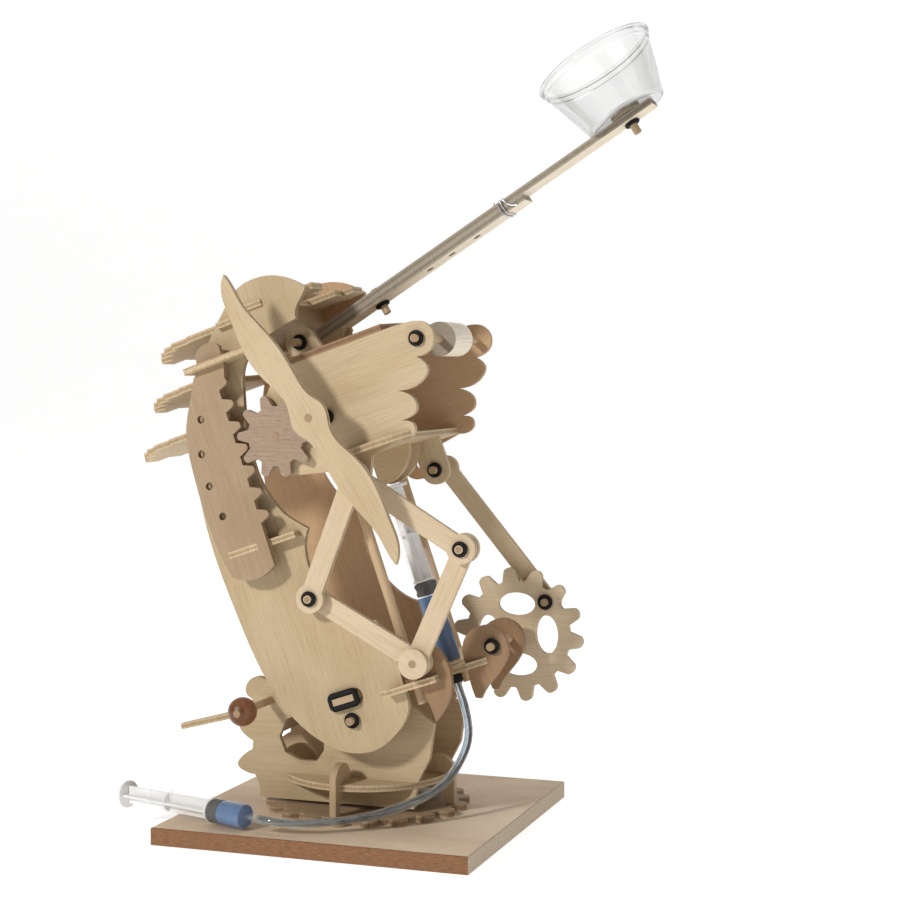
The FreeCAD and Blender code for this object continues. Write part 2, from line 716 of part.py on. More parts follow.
HAND_DIR = -17.0
HAND_START = Vector(-41.0, -88.9, size("board_thick") + BARREL)
HAND_LAY = Placement(HAND_START, Rotation(Vector(0, 0, 1), HAND_DIR)).multiply(
    Placement(Vector(), Rotation(Vector(0, 1, 0), -90)))
UPPER_LAY = moved(ARM, a=SYRINGE_A, b=BARREL_FOOT)
UPPER_PISTON = 44.5
HAND_PISTON = 20.0


def syringes():
    """The tall syringe in the arm and the hand syringe on the board, with their liquid."""
    feature("upper_barrel", barrel_shape(), UPPER_LAY)
    feature("hand_barrel", barrel_shape(), HAND_LAY)
    disc_top = 128.7 - BARREL_FOOT
    feature("upper_plunger", plunger_shape(UPPER_PISTON, disc_top, 8.5), UPPER_LAY)
    feature("hand_plunger", plunger_shape(HAND_PISTON, 102.0, 8.5), HAND_LAY)
    radius = BARREL - size("barrel_wall") - 0.25
    for label, top, lay in (("upper_liquid", UPPER_PISTON, UPPER_LAY),
                            ("hand_liquid", HAND_PISTON, HAND_LAY)):
        column = doc.addObject("Part::Cylinder", label + "_column")
        column.Radius = radius
        column.Height = top - 2.6
        keep(column, label, moved(lay, b=2.3))
    collar = turned([(1.6, CONNECTOR_FOOT), (4.0, CONNECTOR_FOOT), (4.6, CONNECTOR_FOOT + 1.2),
                     (4.6, 0.6 - NOZZLE), (4.0, 1.2 - NOZZLE), (2.75, 1.2 - NOZZLE),
                     (2.75, -NOZZLE), (1.6, -NOZZLE)])
    feature("hose_connector", collar, UPPER_LAY)


# ---------------------------------------------------------------------- hose
def tube_path(points):
    """Straight runs joined by tangent arcs; each radius is 0.45 of the shorter run
    divided by the tangent of half the turn."""
    points = [Vector(*p) for p in points]
    edges = []
    here = points[0]
    radii = []
    for before, corner, after in zip(points, points[1:], points[2:]):
        incoming = corner - before
        outgoing = after - corner
        half_turn = incoming.getAngle(outgoing) / 2
        reach = 0.45 * min(incoming.Length, outgoing.Length)
        radius = reach / math.tan(half_turn)
        radii.append(round(radius, 1))
        arc_start = corner - incoming.normalize() * reach
        arc_end = corner + outgoing.normalize() * reach
        inward = (outgoing - incoming).normalize()
        gap = radius / math.cos(half_turn) - radius
        arc_middle = corner + inward * gap
        edges.append(Part.LineSegment(here, arc_start).toShape())
        edges.append(Part.Arc(arc_start, arc_middle, arc_end).toShape())
        here = arc_end
    edges.append(Part.LineSegment(here, points[-1]).toShape())
    return Part.Wire(edges), radii


HOSE_LOWER = [(-33.35, -91.24, 18.9), (-25.7, -93.58, 18.9), (-14.5, -91.5, 18.0),
              (-0.5, -84.5, 17.4), (16.0, -73.5, 18.0), (33.0, -61.5, 20.5), (49.0, -46.5, 25.5),
              (62.3, -29.0, 33.5), (65.15, -19.5, 41.5)]
HOSE_UPPER = [(65.15, -19.5, 41.5), (68.0, -10.0, 49.5), (67.6, -1.5, 60.0),
              (65.3, 0.0, 72.1), (62.1, 0.0, 82.0), (59.17, 0.0, 89.93)]


def hose():
    """The clear hose, in two stretches that meet beside the turret deck."""
    radius = size("hose_dia") / 2
    for label, points in (("hose_lower", HOSE_LOWER), ("hose_upper", HOSE_UPPER)):
        path, radii = tube_path(points)
        start = Vector(*points[0])
        section = Part.Wire(Part.makeCircle(radius, start, Vector(*points[1]) - start))
        tube = path.makePipeShell([section], True, False)
        expected = math.pi * radius ** 2 * path.Length
        print(label, "radii", radii, "length %.1f" % path.Length,
              "volume ratio %.4f" % (tube.Volume / expected))
        feature(label, tube, UPRIGHT)


# ---------------------------------------------------------------------- hand
def wings():
    """The hand's two scalloped sides."""
    top = 214.0
    near = [(24, top), ("curve", (17, 206), (8, 194), (4, 180), (3, 165), (8, 152)), (30, 147),
            (43, 144), ("arc", (49, 130.2), (61.5, 136)), (66, 146), (86, 149.5),
            ("curve", (92, 148.5), (96.5, 151), (97, 156), (92, 159.5), (86, 160.5)),
            ("curve", (95, 160), (101.5, 163), (102.5, 168.5), (99, 174), (92.5, 178)),
            ("curve", (102, 176), (112, 179), (116, 184), (114, 190), (106.5, 194.5)),
            ("curve", (115, 192), (123.5, 195.5), (126, 203), (122, 210.5), (113, 213.3),
             (104, top))]
    for label, y_low in (("near_wing", -WING_FACE), ("far_wing", WING_FACE - PLY)):
        wires = [outline(side, *near), ring_wire(side, PINION_AXIS, DOWEL),
                 ring_wire(side, SWORD_AXIS, DOWEL), ring_wire(side, ROLLER_AXIS, DOWEL),
                 ring_wire(side, TOP_PIN, DOWEL),
                 box_wire(side, (52, FLOOR_B), (80, FLOOR_B + PLY))]
        side_plate(label, wires, y_low)


FLOOR_B = 149.5
LUG_FACE = 34.0
ROD_LUG_Y = 12.0
DECK_B = 214.0


def hand_plates():
    """The hand's deck, floor, chin plates, catapult lugs and the lug of the long rod."""
    inner = WING_FACE - PLY
    deck = [outline(flat, (31, -WING_FACE), (96, -WING_FACE), ("arc", (101, 0), (96, WING_FACE)),
                    (31, WING_FACE), ("arc", (28, 0), (31, -WING_FACE)))]
    level_plate("hand_deck", deck, DECK_B)
    outer = WING_FACE + 0.4
    floor = [outline(flat, (33, -inner), (52, -inner), (52, -outer), (46, -outer),
                     ("arc", (72, -outer - 8.0), (94, -outer)), (80, -outer), (80, -inner),
                     (86, -inner), (86, inner), (80, inner), (80, outer), (52, outer),
                     (52, inner), (33, inner)),
             ring_wire(flat, (ROD_A, -ROD_Y), GUIDE), ring_wire(flat, (ROD_A, ROD_Y), GUIDE)]
    level_plate("hand_floor", floor, FLOOR_B)
    chin_wires = [outline(side, (47.6, FLOOR_B), (47.8, 130.2),
                          ("arc", (65.5, 134.8), (74.8, FLOOR_B)))]
    chins = []
    for y_low in (-12.0, 5.0):
        chin = pull("chin_plate", chin_wires, Vector(0, 1, 0))
        chin.Placement = Placement(Vector(0, y_low, 0), Rotation())
        chins.append(chin)
    group("chin_plates", chins, ARM)
    a, b = CATAPULT_AXIS
    top = DECK_B + PLY
    lugs = []
    lug_wires = [outline(side, (a - 9.5, top), (a + 14, top), (a + 9.3, b + 2),
                         ("arc", (a, b + 9.5), (a - 9.3, b - 2))),
                 ring_wire(side, CATAPULT_AXIS, DOWEL)]
    for y_low in (-LUG_FACE, LUG_FACE - PLY):
        lug = pull("catapult_lug", lug_wires, Vector(0, 1, 0))
        lug.Placement = Placement(Vector(0, y_low, 0), Rotation())
        lugs.append(lug)
    a, b = ROD_PIN
    rod_lug = [outline(side, (a - 9.5, FLOOR_B), (a - 9.2, b), ("arc", (a, b - 9.2), (a + 9.2, b)),
                       (a + 8.5, FLOOR_B)),
               ring_wire(side, ROD_PIN, DOWEL)]
    lug = pull("rod_lug", rod_lug, Vector(0, 1, 0))
    lug.Placement = Placement(Vector(0, ROD_LUG_Y, 0), Rotation())
    group("hand_lugs", lugs + [lug], ARM)


def hand_dowels():
    """The hand's loose dowels: one each for pinion, sword, roller, catapult, links and rod."""
    reach = WING_FACE + 3
    pieces = [rod("pinion_dowel", PINION_AXIS, -RACK_FACE - 0.2, reach),
              rod("sword_dowel", SWORD_AXIS, -SWORD_FACE - 0.2, reach),
              rod("roller_dowel", ROLLER_AXIS, -WING_FACE - 5, WING_FACE + 5),
              rod("catapult_dowel", CATAPULT_AXIS, -LUG_FACE - 9, LUG_FACE + 6),
              rod("links_top_pin", TOP_PIN, -WING_FACE - 14.5, -WING_FACE + PLY + 4),
              rod("rod_pin", ROD_PIN, ROD_LUG_Y - 5.5, 37.5)]
    group("hand_dowels", pieces, ARM)
    rods = [rod("guide_rod", (ROD_A, sign * ROD_Y), -3.0, FLOOR_B + PLY,
                "sizes.guide_dia / 2", "b")
            for sign in (-1, 1)]
    group("guide_rods", rods, ARM)
    outer = WING_FACE + RING + 0.05
    rings = [rubber_ring("sword_ring", SWORD_AXIS, -outer),
             rubber_ring("roller_ring_near", ROLLER_AXIS, -outer),
             rubber_ring("roller_ring_far", ROLLER_AXIS, outer),
             rubber_ring("sword_ring_far", SWORD_AXIS, outer),
             rubber_ring("catapult_ring_near", CATAPULT_AXIS, -LUG_FACE - RING - 0.05),
             rubber_ring("catapult_ring_far", CATAPULT_AXIS, LUG_FACE + RING + 0.05),
             rubber_ring("rod_ring", ROD_PIN, ROD_LUG_Y - RING - 0.05),
             rubber_ring("links_ring", TOP_PIN, LINK_LAYERS["right_upper_link"] - RING - 0.35)]
    group("hand_rings", rings, ARM)


def wheels():
    """The dark pinion, the sword and the roller, each turning on its dowel."""
    pinion = [gear_wire(side, PINION_AXIS, 10, 18.0, 25.2, 4.0, 2.3, 18.0),
              ring_wire(side, PINION_AXIS, RUN)]
    side_plate("pinion", pinion, -RACK_FACE)
    half = [(-28, 90), (-28.5, 71), (-26, 47), (-20, 31), (-13, 19), (-10.7, 11.5), (-11, 4),
            (-11.4, -2), (-9.4, -7), (-5.4, -11.6), (-2.4, -17), (-0.2, -25), (1.8, -34),
            (5, -45), (13, -63), (19, -77), (22, -91), (24, -97)]
    a, b = SWORD_AXIS
    curves = [("curve", *[(a + sign * x, b + sign * z) for x, z in half]) for sign in (1, -1)]
    sword = [outline(side, (a - 24, b + 97), *curves), ring_wire(side, SWORD_AXIS, RUN)]
    side_plate("sword", sword, -SWORD_FACE)
    half = size("roller_len") / 2
    drum = rod("roller_drum", ROLLER_AXIS, -half, half, "sizes.roller_dia / 2")
    bore = rod("roller_bore", ROLLER_AXIS, -half - 1, half + 1,
               "sizes.dowel_dia / 2 + sizes.running_gap")
    keep(cut("roller_cut", drum, bore), "roller", ARM)


# ------------------------------------------------------------------ linkages
def links():
    """The four bars of the kite-shaped linkage; each lower bar carries its elbow pin."""
    ends = {"left_lower_link": (BASE_PIN, ELBOW_LEFT), "right_lower_link": (BASE_PIN, ELBOW_RIGHT),
            "left_upper_link": (ELBOW_LEFT, TOP_PIN), "right_upper_link": (ELBOW_RIGHT, TOP_PIN)}
    for label, (first, last) in ends.items():
        y_low = LINK_LAYERS[label]
        lower = "lower" in label
        wires = [link_wire(side, first, last, 8.8, 6.2),
                 ring_wire(side, first, RUN), ring_wire(side, last, DOWEL if lower else LOOSE_EYE)]
        bar = pull(label, wires, Vector(0, 1, 0))
        if lower:
            bar.Placement = Placement(Vector(0, y_low, 0), Rotation())
            upper = LINK_LAYERS[label.replace("lower", "upper")]
            pin = rod(label + "_pin", last, upper - 3.6, y_low + PLY)
            group(label, [bar, pin], ARM)
        else:
            keep(bar, label, moved(ARM, y=y_low))


def front_gear():
    """The pierced hand wheel with its crank pin, its shaft, and the long rod."""
    y_low = 26.0
    wires = [gear_wire(side, GEAR_AXIS, 14, 33.5, 42.0, 5.6, 3.6, 2.0),
             ring_wire(side, GEAR_AXIS, DOWEL), ring_wire(side, CRANK_PIN, DOWEL)]
    for quarter in range(4):
        turn = math.radians(90 * quarter - 17)
        centre = (GEAR_AXIS[0] + 19 * math.cos(turn), GEAR_AXIS[1] + 19 * math.sin(turn))
        wires.append(oval_wire(side, centre, 12.0, 7.2, math.degrees(turn) + 90))
    side_plate("front_gear", wires, y_low)
    shaft = rod("gear_shaft_rod", GEAR_AXIS, -30.5, y_low + PLY)
    pin = rod("crank_pin_rod", CRANK_PIN, y_low - 3.2, y_low + 2 * PLY + 4)
    group("gear_pins", [shaft, pin], ARM)
    group("gear_rings", [rubber_ring("shaft_ring", GEAR_AXIS, -25.35 - RING),
                         rubber_ring("crank_ring", CRANK_PIN, y_low - 0.05 - RING)], ARM)
    wires = [link_wire(side, ROD_PIN, CRANK_PIN, 8.0, 5.6), ring_wire(side, ROD_PIN, RUN),
             ring_wire(side, CRANK_PIN, LOOSE_EYE)]
    side_plate("long_rod", wires, y_low + PLY + 1.6)


# ------------------------------------------------------------------ catapult
PEG_NEAR = 47.3
PEG_CUP = 237.0
LOWER_END = 160.0
UPPER_END = 254.0
SLAT_FOOT = -0.9
SPARE_HOLES = (85.0, 102.0, 121.0)
CLIP_AT = 145.0


def catapult():
    """Two lapped slats with pegs, a wire clip and a clear cup, hinged on the hand's lugs."""
    tilt = moved(ARM, a=CATAPULT_AXIS[0], b=CATAPULT_AXIS[1]).multiply(
        Placement(Vector(), Rotation(Vector(0, 1, 0), -size("slat_angle"))))
    half = size("slat_width") / 2
    layers = (("lower_slat", 3.5, LOWER_END, SLAT_FOOT, (PEG_NEAR,) + SPARE_HOLES),
              ("upper_slat", 3.5, UPPER_END, SLAT_FOOT + PLY,
               (PEG_NEAR,) + SPARE_HOLES + (PEG_CUP,)))
    for label, start, end, foot, holes in layers:
        wires = [box_wire(flat, (start, -half), (end, half))]
        wires += [ring_wire(flat, (spot, 0), DOWEL) for spot in holes]
        level_plate(label, wires, foot, tilt)
    root = [outline(side, (0, 5.8), ("arc", (-5.8, 0), (0, -5.8)), (14.4, -6.6), (19.6, -2.8),
                    (19.6, SLAT_FOOT), (3.5, SLAT_FOOT), (3.5, 4.6)), ring_wire(side, (0, 0), RUN)]
    cheeks_list = []
    for y_low in (-half, half - PLY):
        piece = pull("catapult_cheek", root, Vector(0, 1, 0))
        piece.Placement = Placement(Vector(0, y_low, 0), Rotation())
        cheeks_list.append(piece)
    group("catapult_root", cheeks_list, tilt)
    top = SLAT_FOOT + 2 * PLY
    pegs = [rod("near_peg", (PEG_NEAR, 0), SLAT_FOOT - 7.5, top + 2, along="b"),
            rod("cup_peg", (PEG_CUP, 0), SLAT_FOOT + PLY - 8, top + 5.5, along="b")]
    group("catapult_pegs", pegs, tilt)
    rings = [rubber_ring("peg_ring", (PEG_NEAR, 0), SLAT_FOOT - 0.05 - RING, "b"),
             rubber_ring("cup_ring", (PEG_CUP, 0), SLAT_FOOT + PLY - 0.05 - RING, "b")]
    group("catapult_rings", rings, tilt)
    wire = 1.3
    outer = doc.addObject("Part::Box", "clip_outer")
    outer.Length = wire
    outer.Width = 2 * (half + wire)
    outer.Height = 2 * PLY + 2 * wire
    outer.Placement = Placement(Vector(CLIP_AT, -half - wire, SLAT_FOOT - wire), Rotation())
    inner = doc.addObject("Part::Box", "clip_inner")
    inner.Length = wire + 2
    inner.Width = 2 * half
    inner.Height = 2 * PLY
    inner.Placement = Placement(Vector(CLIP_AT - 1, -half, SLAT_FOOT), Rotation())
    keep(cut("clip_band", outer, inner), "spring_clip", tilt)
    foot = size("cup_foot")
    rim = size("cup_rim")
    tall = size("cup_height")
    wall = size("cup_wall")
    shell = turned([(DOWEL, 0), (foot, 0), (rim - 2.6, tall - 7.0), (rim - 1.4, tall - 6.0),
                    (rim - 1.4, tall - 2.0), (rim, tall - 2.0), (rim, tall),
                    (rim - 1.4 - wall, tall), (rim - 1.4 - wall, tall - 6.2),
                    (rim - 2.6 - wall, tall - 6.6), (foot - wall, wall), (DOWEL, wall)])
    feature("cup", shell, moved(tilt, a=PEG_CUP, b=top))
    washer = cut("cup_washer_cut", rod("cup_washer_disc", (PEG_CUP, 0), top + wall,
                                       top + wall + 3.2, "9.5", "b"),
                 rod("cup_washer_bore", (PEG_CUP, 0), top, top + 8, along="b"))
    keep(washer, "cup_washer", tilt)


# --------------------------------------------------------------------- build
base_board()
base_gear()
turret_post()
turret_disc()
glide_legs()
cheeks()
turret_fittings()
crank()
arm_plates()
spine_plates()
rack()
rack_guides()
head()
shelf()
claw_brackets()
arm_pins()
syringes()
hose()
wings()
hand_plates()
hand_dowels()
wheels()
links()
front_gear()
catapult()
doc.recompute()

failed = [obj.Label for obj in doc.Objects if {"Invalid", "Error"} & set(obj.State)]
for node in nodes:
    if node.Shape.isNull() or not node.Shape.isValid():
        failed.append(node.Label + " shape")
if failed:
    raise RuntimeError("failed: " + ", ".join(failed))

os.makedirs("parts", exist_ok=True)
for node in nodes:
    node.Shape.exportStep("parts/%s.step" % node.Label)
print(len(nodes), "nodes written")
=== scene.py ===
import json
import math

import bmesh
import bpy
from mathutils import Matrix, Vector


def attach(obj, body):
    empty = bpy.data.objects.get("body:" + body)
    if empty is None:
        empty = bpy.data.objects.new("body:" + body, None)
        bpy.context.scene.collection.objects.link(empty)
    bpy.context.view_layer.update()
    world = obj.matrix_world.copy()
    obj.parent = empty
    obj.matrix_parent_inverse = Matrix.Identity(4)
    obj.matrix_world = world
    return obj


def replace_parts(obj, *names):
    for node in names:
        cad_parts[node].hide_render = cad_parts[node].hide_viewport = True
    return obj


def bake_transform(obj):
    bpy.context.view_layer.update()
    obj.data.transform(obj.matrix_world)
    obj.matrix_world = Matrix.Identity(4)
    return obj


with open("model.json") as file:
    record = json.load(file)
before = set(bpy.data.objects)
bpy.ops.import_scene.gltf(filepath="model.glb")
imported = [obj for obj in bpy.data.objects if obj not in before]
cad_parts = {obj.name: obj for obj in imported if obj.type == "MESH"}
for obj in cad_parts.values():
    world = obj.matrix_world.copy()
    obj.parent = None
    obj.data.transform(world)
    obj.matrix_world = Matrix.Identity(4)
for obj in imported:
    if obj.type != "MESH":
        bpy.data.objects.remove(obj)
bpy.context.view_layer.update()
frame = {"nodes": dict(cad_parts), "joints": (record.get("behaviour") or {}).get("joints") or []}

MM = 0.001

# ------------------------------------------------------------------ directions
# The arm leans: ALONG runs up its cross plates and UP along the tall syringe.
JOINTS = {joint["name"]: joint for joint in frame["joints"]}
X = Vector((1, 0, 0))
Y = Vector((0, 1, 0))
Z = Vector((0, 0, 1))
ARM_PIVOT = Vector(JOINTS["arm_tilt"]["pos_m"])
UP = Vector(JOINTS["hand_slide"]["axis"]).normalized()
ALONG = Y.cross(UP)
SLAT_ALONG = Matrix.Rotation(math.radians(-13.4), 3, "Y") @ ALONG
SLAT_UP = SLAT_ALONG.cross(Y)
TAIL_SLOPE = math.radians(15)
TAIL_ALONG = Vector((math.cos(TAIL_SLOPE), 0, math.sin(TAIL_SLOPE)))
TAIL_UP = TAIL_ALONG.cross(Y)
SLAT_PIVOT = Vector(JOINTS["catapult_swing"]["pos_m"])
HAND_AXIS = -Vector(JOINTS["hand_plunger_push"]["axis"]).normalized()


def arm_point(a, y, b):
    """A point given in millimetres along the arm's own directions."""
    return ARM_PIVOT + (ALONG * a + Y * y + UP * b) * MM


def between(first, second):
    """The direction from one joint's axis to another's."""
    run = Vector(JOINTS[second]["pos_m"]) - Vector(JOINTS[first]["pos_m"])
    return run.normalized()


def axes_at(origin, axis, side=Y):
    """A matrix whose local z is the axis, for shapes drawn in millimetres."""
    across = side.cross(axis).normalized()
    columns = Matrix((across, axis.cross(across), axis)).transposed()
    return Matrix.Translation(origin) @ columns.to_4x4() @ Matrix.Scale(MM, 4)


# ------------------------------------------------------------- shader building
class Shader:
    """A material with a Principled surface, and short calls that add nodes to it."""

    def __init__(self, name, roughness=0.5):
        self.material = bpy.data.materials.new(name)
        self.material.use_nodes = True
        self.tree = self.material.node_tree
        self.surface = self.tree.nodes["Principled BSDF"]
        self.surface.inputs["Roughness"].default_value = roughness

    def put(self, socket, value):
        """Link another node's output, or set a constant."""
        if isinstance(value, bpy.types.NodeSocket):
            self.tree.links.new(value, socket)
        else:
            socket.default_value = value

    def set(self, **values):
        """Set the surface's sockets; an underscore stands for a space."""
        for name, value in values.items():
            self.put(self.surface.inputs[name.replace("_", " ")], value)

    def math(self, operation, first, second=0.0):
        """The output of a Math node."""
        node = self.tree.nodes.new("ShaderNodeMath")
        node.operation = operation
        self.put(node.inputs[0], first)
        self.put(node.inputs[1], second)
        return node.outputs[0]

    def vector(self, operation, first, second):
        """The output of a Vector Math node."""
        node = self.tree.nodes.new("ShaderNodeVectorMath")
        node.operation = operation
        self.put(node.inputs[0], first)
        self.put(node.inputs[1], second)
        return node.outputs["Value" if operation == "DOT_PRODUCT" else "Vector"]

    def place(self, output="Object"):
        """The piece's own coordinates: its place or its normal."""
        return self.tree.nodes.new("ShaderNodeTexCoord").outputs[output]

    def local(self, grain, normal, low=0.0, shift=0.0):
        """Coordinates in millimetres: along the grain, across it, and up from one face."""
        place = self.place()
        node = self.tree.nodes.new("ShaderNodeCombineXYZ")
        cross = normal.cross(grain)
        offsets = (shift * 37.0, shift * 11.0, -low / MM)
        for socket, direction, offset in zip(node.inputs, (grain, cross, normal), offsets):
            along = self.vector("DOT_PRODUCT", place, direction / MM)
            self.put(socket, self.math("ADD", along, offset))
        return node.outputs[0]

    def noise(self, vector, scale, detail=3.0, roughness=0.5):
        """Noise over a vector that is first stretched by one number per direction."""
        node = self.tree.nodes.new("ShaderNodeTexNoise")
        self.put(node.inputs["Vector"], self.vector("MULTIPLY", vector, scale))
        node.inputs["Scale"].default_value = 1.0
        node.inputs["Detail"].default_value = detail
        node.inputs["Roughness"].default_value = roughness
        return node.outputs["Fac"]

    def ramp(self, value, *stops):
        """A colour ramp from (position, colour) stops."""
        node = self.tree.nodes.new("ShaderNodeValToRGB")
        elements = node.color_ramp.elements
        while len(elements) < len(stops):
            elements.new(1.0)
        for element, (position, colour) in zip(elements, stops):
            element.position = position
            element.color = (*colour, 1.0)
        self.put(node.inputs[0], value)
        return node.outputs["Color"]

    def mix(self, factor, first, second, blend="MIX"):
        """Two colours mixed."""
        node = self.tree.nodes.new("ShaderNodeMix")
        node.data_type = "RGBA"
        node.blend_type = blend
        for index, value in ((0, factor), (6, first), (7, second)):
            self.put(node.inputs[index], value)
        return node.outputs[2]

    def bump(self, height, strength, distance=0.3):
        """Relief in the surface; distance is in millimetres."""
        node = self.tree.nodes.new("ShaderNodeBump")
        self.put(node.inputs["Height"], height)
        node.inputs["Strength"].default_value = strength
        node.inputs["Distance"].default_value = distance * MM
        self.put(self.surface.inputs["Normal"], node.outputs["Normal"])


def shade(colour, factor, warmth=0.0):
    """A colour made lighter or darker, and redder by warmth."""
    red, green, blue = colour
    return (min(1.0, red * factor), min(1.0, green * factor * (1 - warmth)),
            min(1.0, blue * factor * (1 - 2 * warmth)))


# ------------------------------------------------------------------- materials
PLY = 4.0
WHITE = (1.0, 1.0, 1.0)


def plywood(name, tone, grain, normal, low=0.0, shift=0.0, edges=True, edge_tone=1.0):
    """Three-layer plywood: figured faces and layered edges, whose tone edge_tone scales."""
    shader = Shader(name)
    local = shader.local(grain, normal, low, shift)
    broad = shader.noise(local, (0.004, 0.022, 0.022), 2.0)
    rings = shader.math("SINE", shader.math("MULTIPLY", broad, 95.0))
    streak = shader.noise(local, (0.022, 1.05, 1.05), 5.0, 0.62)
    fibre = shader.noise(local, (0.12, 3.6, 3.6), 3.0, 0.6)
    figure = shader.math("ADD", shader.math("MULTIPLY", rings, 0.022), streak)
    face = shader.ramp(figure, (0.28, shade(tone, 0.84, 0.04)), (0.46, shade(tone, 0.97, 0.01)),
                       (0.60, shade(tone, 1.02)), (0.76, shade(tone, 1.09)))
    patches = shader.ramp(shader.noise(local, (0.012, 0.035, 0.035), 3.0),
                          (0.30, (0.90, 0.87, 0.82)), (0.62, WHITE))
    face = shader.mix(1.0, face, patches, "MULTIPLY")
    pores = shader.ramp(fibre, (0.34, (0.80, 0.74, 0.66)), (0.46, WHITE))
    face = shader.mix(0.75, face, pores, "MULTIPLY")
    if edges:
        height = shader.tree.nodes.new("ShaderNodeSeparateXYZ")
        shader.put(height.inputs[0], local)
        layer = shader.math("FRACT", shader.math("DIVIDE", height.outputs[2], PLY))
        pale = shade(tone, 1.04 * edge_tone, 0.01)
        core = shade(tone, 0.74 * edge_tone, 0.07)
        layers = shader.ramp(layer, (0.0, pale), (0.27, pale), (0.31, core), (0.68, core),
                             (0.72, pale))
        saw = shader.ramp(shader.noise(local, (0.9, 0.9, 0.25), 4.0, 0.65),
                          (0.32, (0.76, 0.70, 0.62)), (0.60, WHITE))
        edge = shader.mix(1.0, layers, saw, "MULTIPLY")
        facing = shader.vector("DOT_PRODUCT", shader.place("Normal"), normal)
        on_edge = shader.math("LESS_THAN", shader.math("ABSOLUTE", facing), 0.7)
        face = shader.mix(on_edge, face, edge)
    shader.set(Base_Color=face, Specular_IOR_Level=0.32)
    shader.set(Roughness=shader.math("ADD", 0.50, shader.math("MULTIPLY", streak, 0.22)))
    shader.bump(shader.math("ADD", fibre, streak), 0.30, 0.22)
    return shader.material


def turned_wood(name, tone, axis, shift=0.0, gloss=0.5, end_tone=1.0):
    """Dowel or turned wood: fibres along the axis, darker end grain with rings."""
    side = Z if abs(axis.z) < 0.7 else X
    normal = (side - axis * side.dot(axis)).normalized()
    shader = Shader(name)
    local = shader.local(axis, normal, 0.0, shift)
    streak = shader.noise(local, (0.035, 1.1, 1.1), 5.0, 0.62)
    fibre = shader.noise(local, (0.25, 5.0, 5.0), 3.0, 0.6)
    length = shader.ramp(streak, (0.28, shade(tone, 0.74, 0.06)), (0.5, tone),
                         (0.72, shade(tone, 1.13)))
    pores = shader.ramp(fibre, (0.33, (0.74, 0.66, 0.56)), (0.45, WHITE))
    length = shader.mix(0.8, length, pores, "MULTIPLY")
    growth = shader.noise(local, (0.0, 1.4, 0.5), 2.0)
    end_rings = shader.math("SINE", shader.math("MULTIPLY", growth, 60.0))
    end = shader.ramp(shader.math("ADD", 0.5, shader.math("MULTIPLY", end_rings, 0.3)),
                      (0.15, shade(tone, 0.50 * end_tone, 0.10)),
                      (0.85, shade(tone, 0.78 * end_tone, 0.05)))
    facing = shader.vector("DOT_PRODUCT", shader.place("Normal"), axis)
    on_end = shader.math("GREATER_THAN", shader.math("ABSOLUTE", facing), 0.8)
    shader.set(Base_Color=shader.mix(on_end, length, end), Specular_IOR_Level=0.4)
    shader.set(Roughness=shader.math("ADD", gloss, shader.math("MULTIPLY", streak, 0.2)))
    shader.bump(shader.math("ADD", fibre, streak), 0.30, 0.2)
    return shader.material


def fibreboard(name):
    """MDF: speckled sanded top, darker sawn front and a paler end."""
    shader = Shader(name)
    place = shader.place()
    speckle = shader.noise(place, (900, 900, 900), 5.0, 0.7)
    cloud = shader.noise(place, (16, 28, 28), 4.0, 0.6)
    top = shader.ramp(shader.math("ADD", shader.math("MULTIPLY", speckle, 0.45),
                                  shader.math("MULTIPLY", cloud, 0.55)),
                      (0.36, (0.60, 0.45, 0.32)), (0.5, (0.72, 0.57, 0.42)),
                      (0.64, (0.80, 0.66, 0.50)))
    fluff = shader.noise(place, (240, 240, 1500), 4.0, 0.7)
    front = shader.ramp(fluff, (0.33, (0.175, 0.080, 0.036)), (0.5, (0.250, 0.122, 0.058)),
                        (0.68, (0.32, 0.170, 0.088)))
    pale = shader.ramp(fluff, (0.33, (0.40, 0.31, 0.22)), (0.6, (0.56, 0.46, 0.34)))
    normal = shader.tree.nodes.new("ShaderNodeSeparateXYZ")
    shader.put(normal.inputs[0], shader.place("Normal"))
    on_side = shader.math("LESS_THAN", normal.outputs[2], 0.8)
    on_end = shader.math("GREATER_THAN", normal.outputs[0], 0.6)
    colour = shader.mix(on_side, top, shader.mix(on_end, front, pale))
    shader.set(Base_Color=colour, Specular_IOR_Level=0.25)
    shader.set(Roughness=shader.math("ADD", 0.62, shader.math("MULTIPLY", speckle, 0.15)))
    shader.bump(speckle, 0.22, 0.2)
    return shader.material


def walnut(name, grain, low):
    """Dark open-pored wood for the pinion."""
    shader = Shader(name)
    local = shader.local(grain, Y, low)
    streak = shader.noise(local, (0.03, 1.3, 1.3), 5.0, 0.65)
    colour = shader.ramp(streak, (0.30, (0.30, 0.207, 0.143)), (0.5, (0.37, 0.266, 0.187)),
                         (0.70, (0.43, 0.322, 0.232)))
    slits = shader.noise(local, (0.20, 3.4, 3.4), 2.0, 0.5)
    pores = shader.ramp(slits, (0.34, (0.62, 0.53, 0.46)), (0.46, WHITE))
    shader.set(Base_Color=shader.mix(0.85, colour, pores, "MULTIPLY"), Specular_IOR_Level=0.35)
    shader.set(Roughness=shader.math("ADD", 0.48, shader.math("MULTIPLY", slits, 0.2)))
    shader.bump(slits, 0.35, 0.2)
    return shader.material


def rubber(name):
    """Matt black rubber with a faint moulded grain."""
    shader = Shader(name)
    grain = shader.noise(shader.place(), (1400, 1400, 1400), 3.0, 0.6)
    shader.set(Base_Color=shader.ramp(grain, (0.35, (0.005, 0.005, 0.005)),
                                      (0.7, (0.013, 0.012, 0.012))))
    shader.set(Roughness=shader.math("ADD", 0.52, shader.math("MULTIPLY", grain, 0.22)))
    shader.set(Specular_IOR_Level=0.22)
    shader.bump(grain, 0.15, 0.1)
    return shader.material


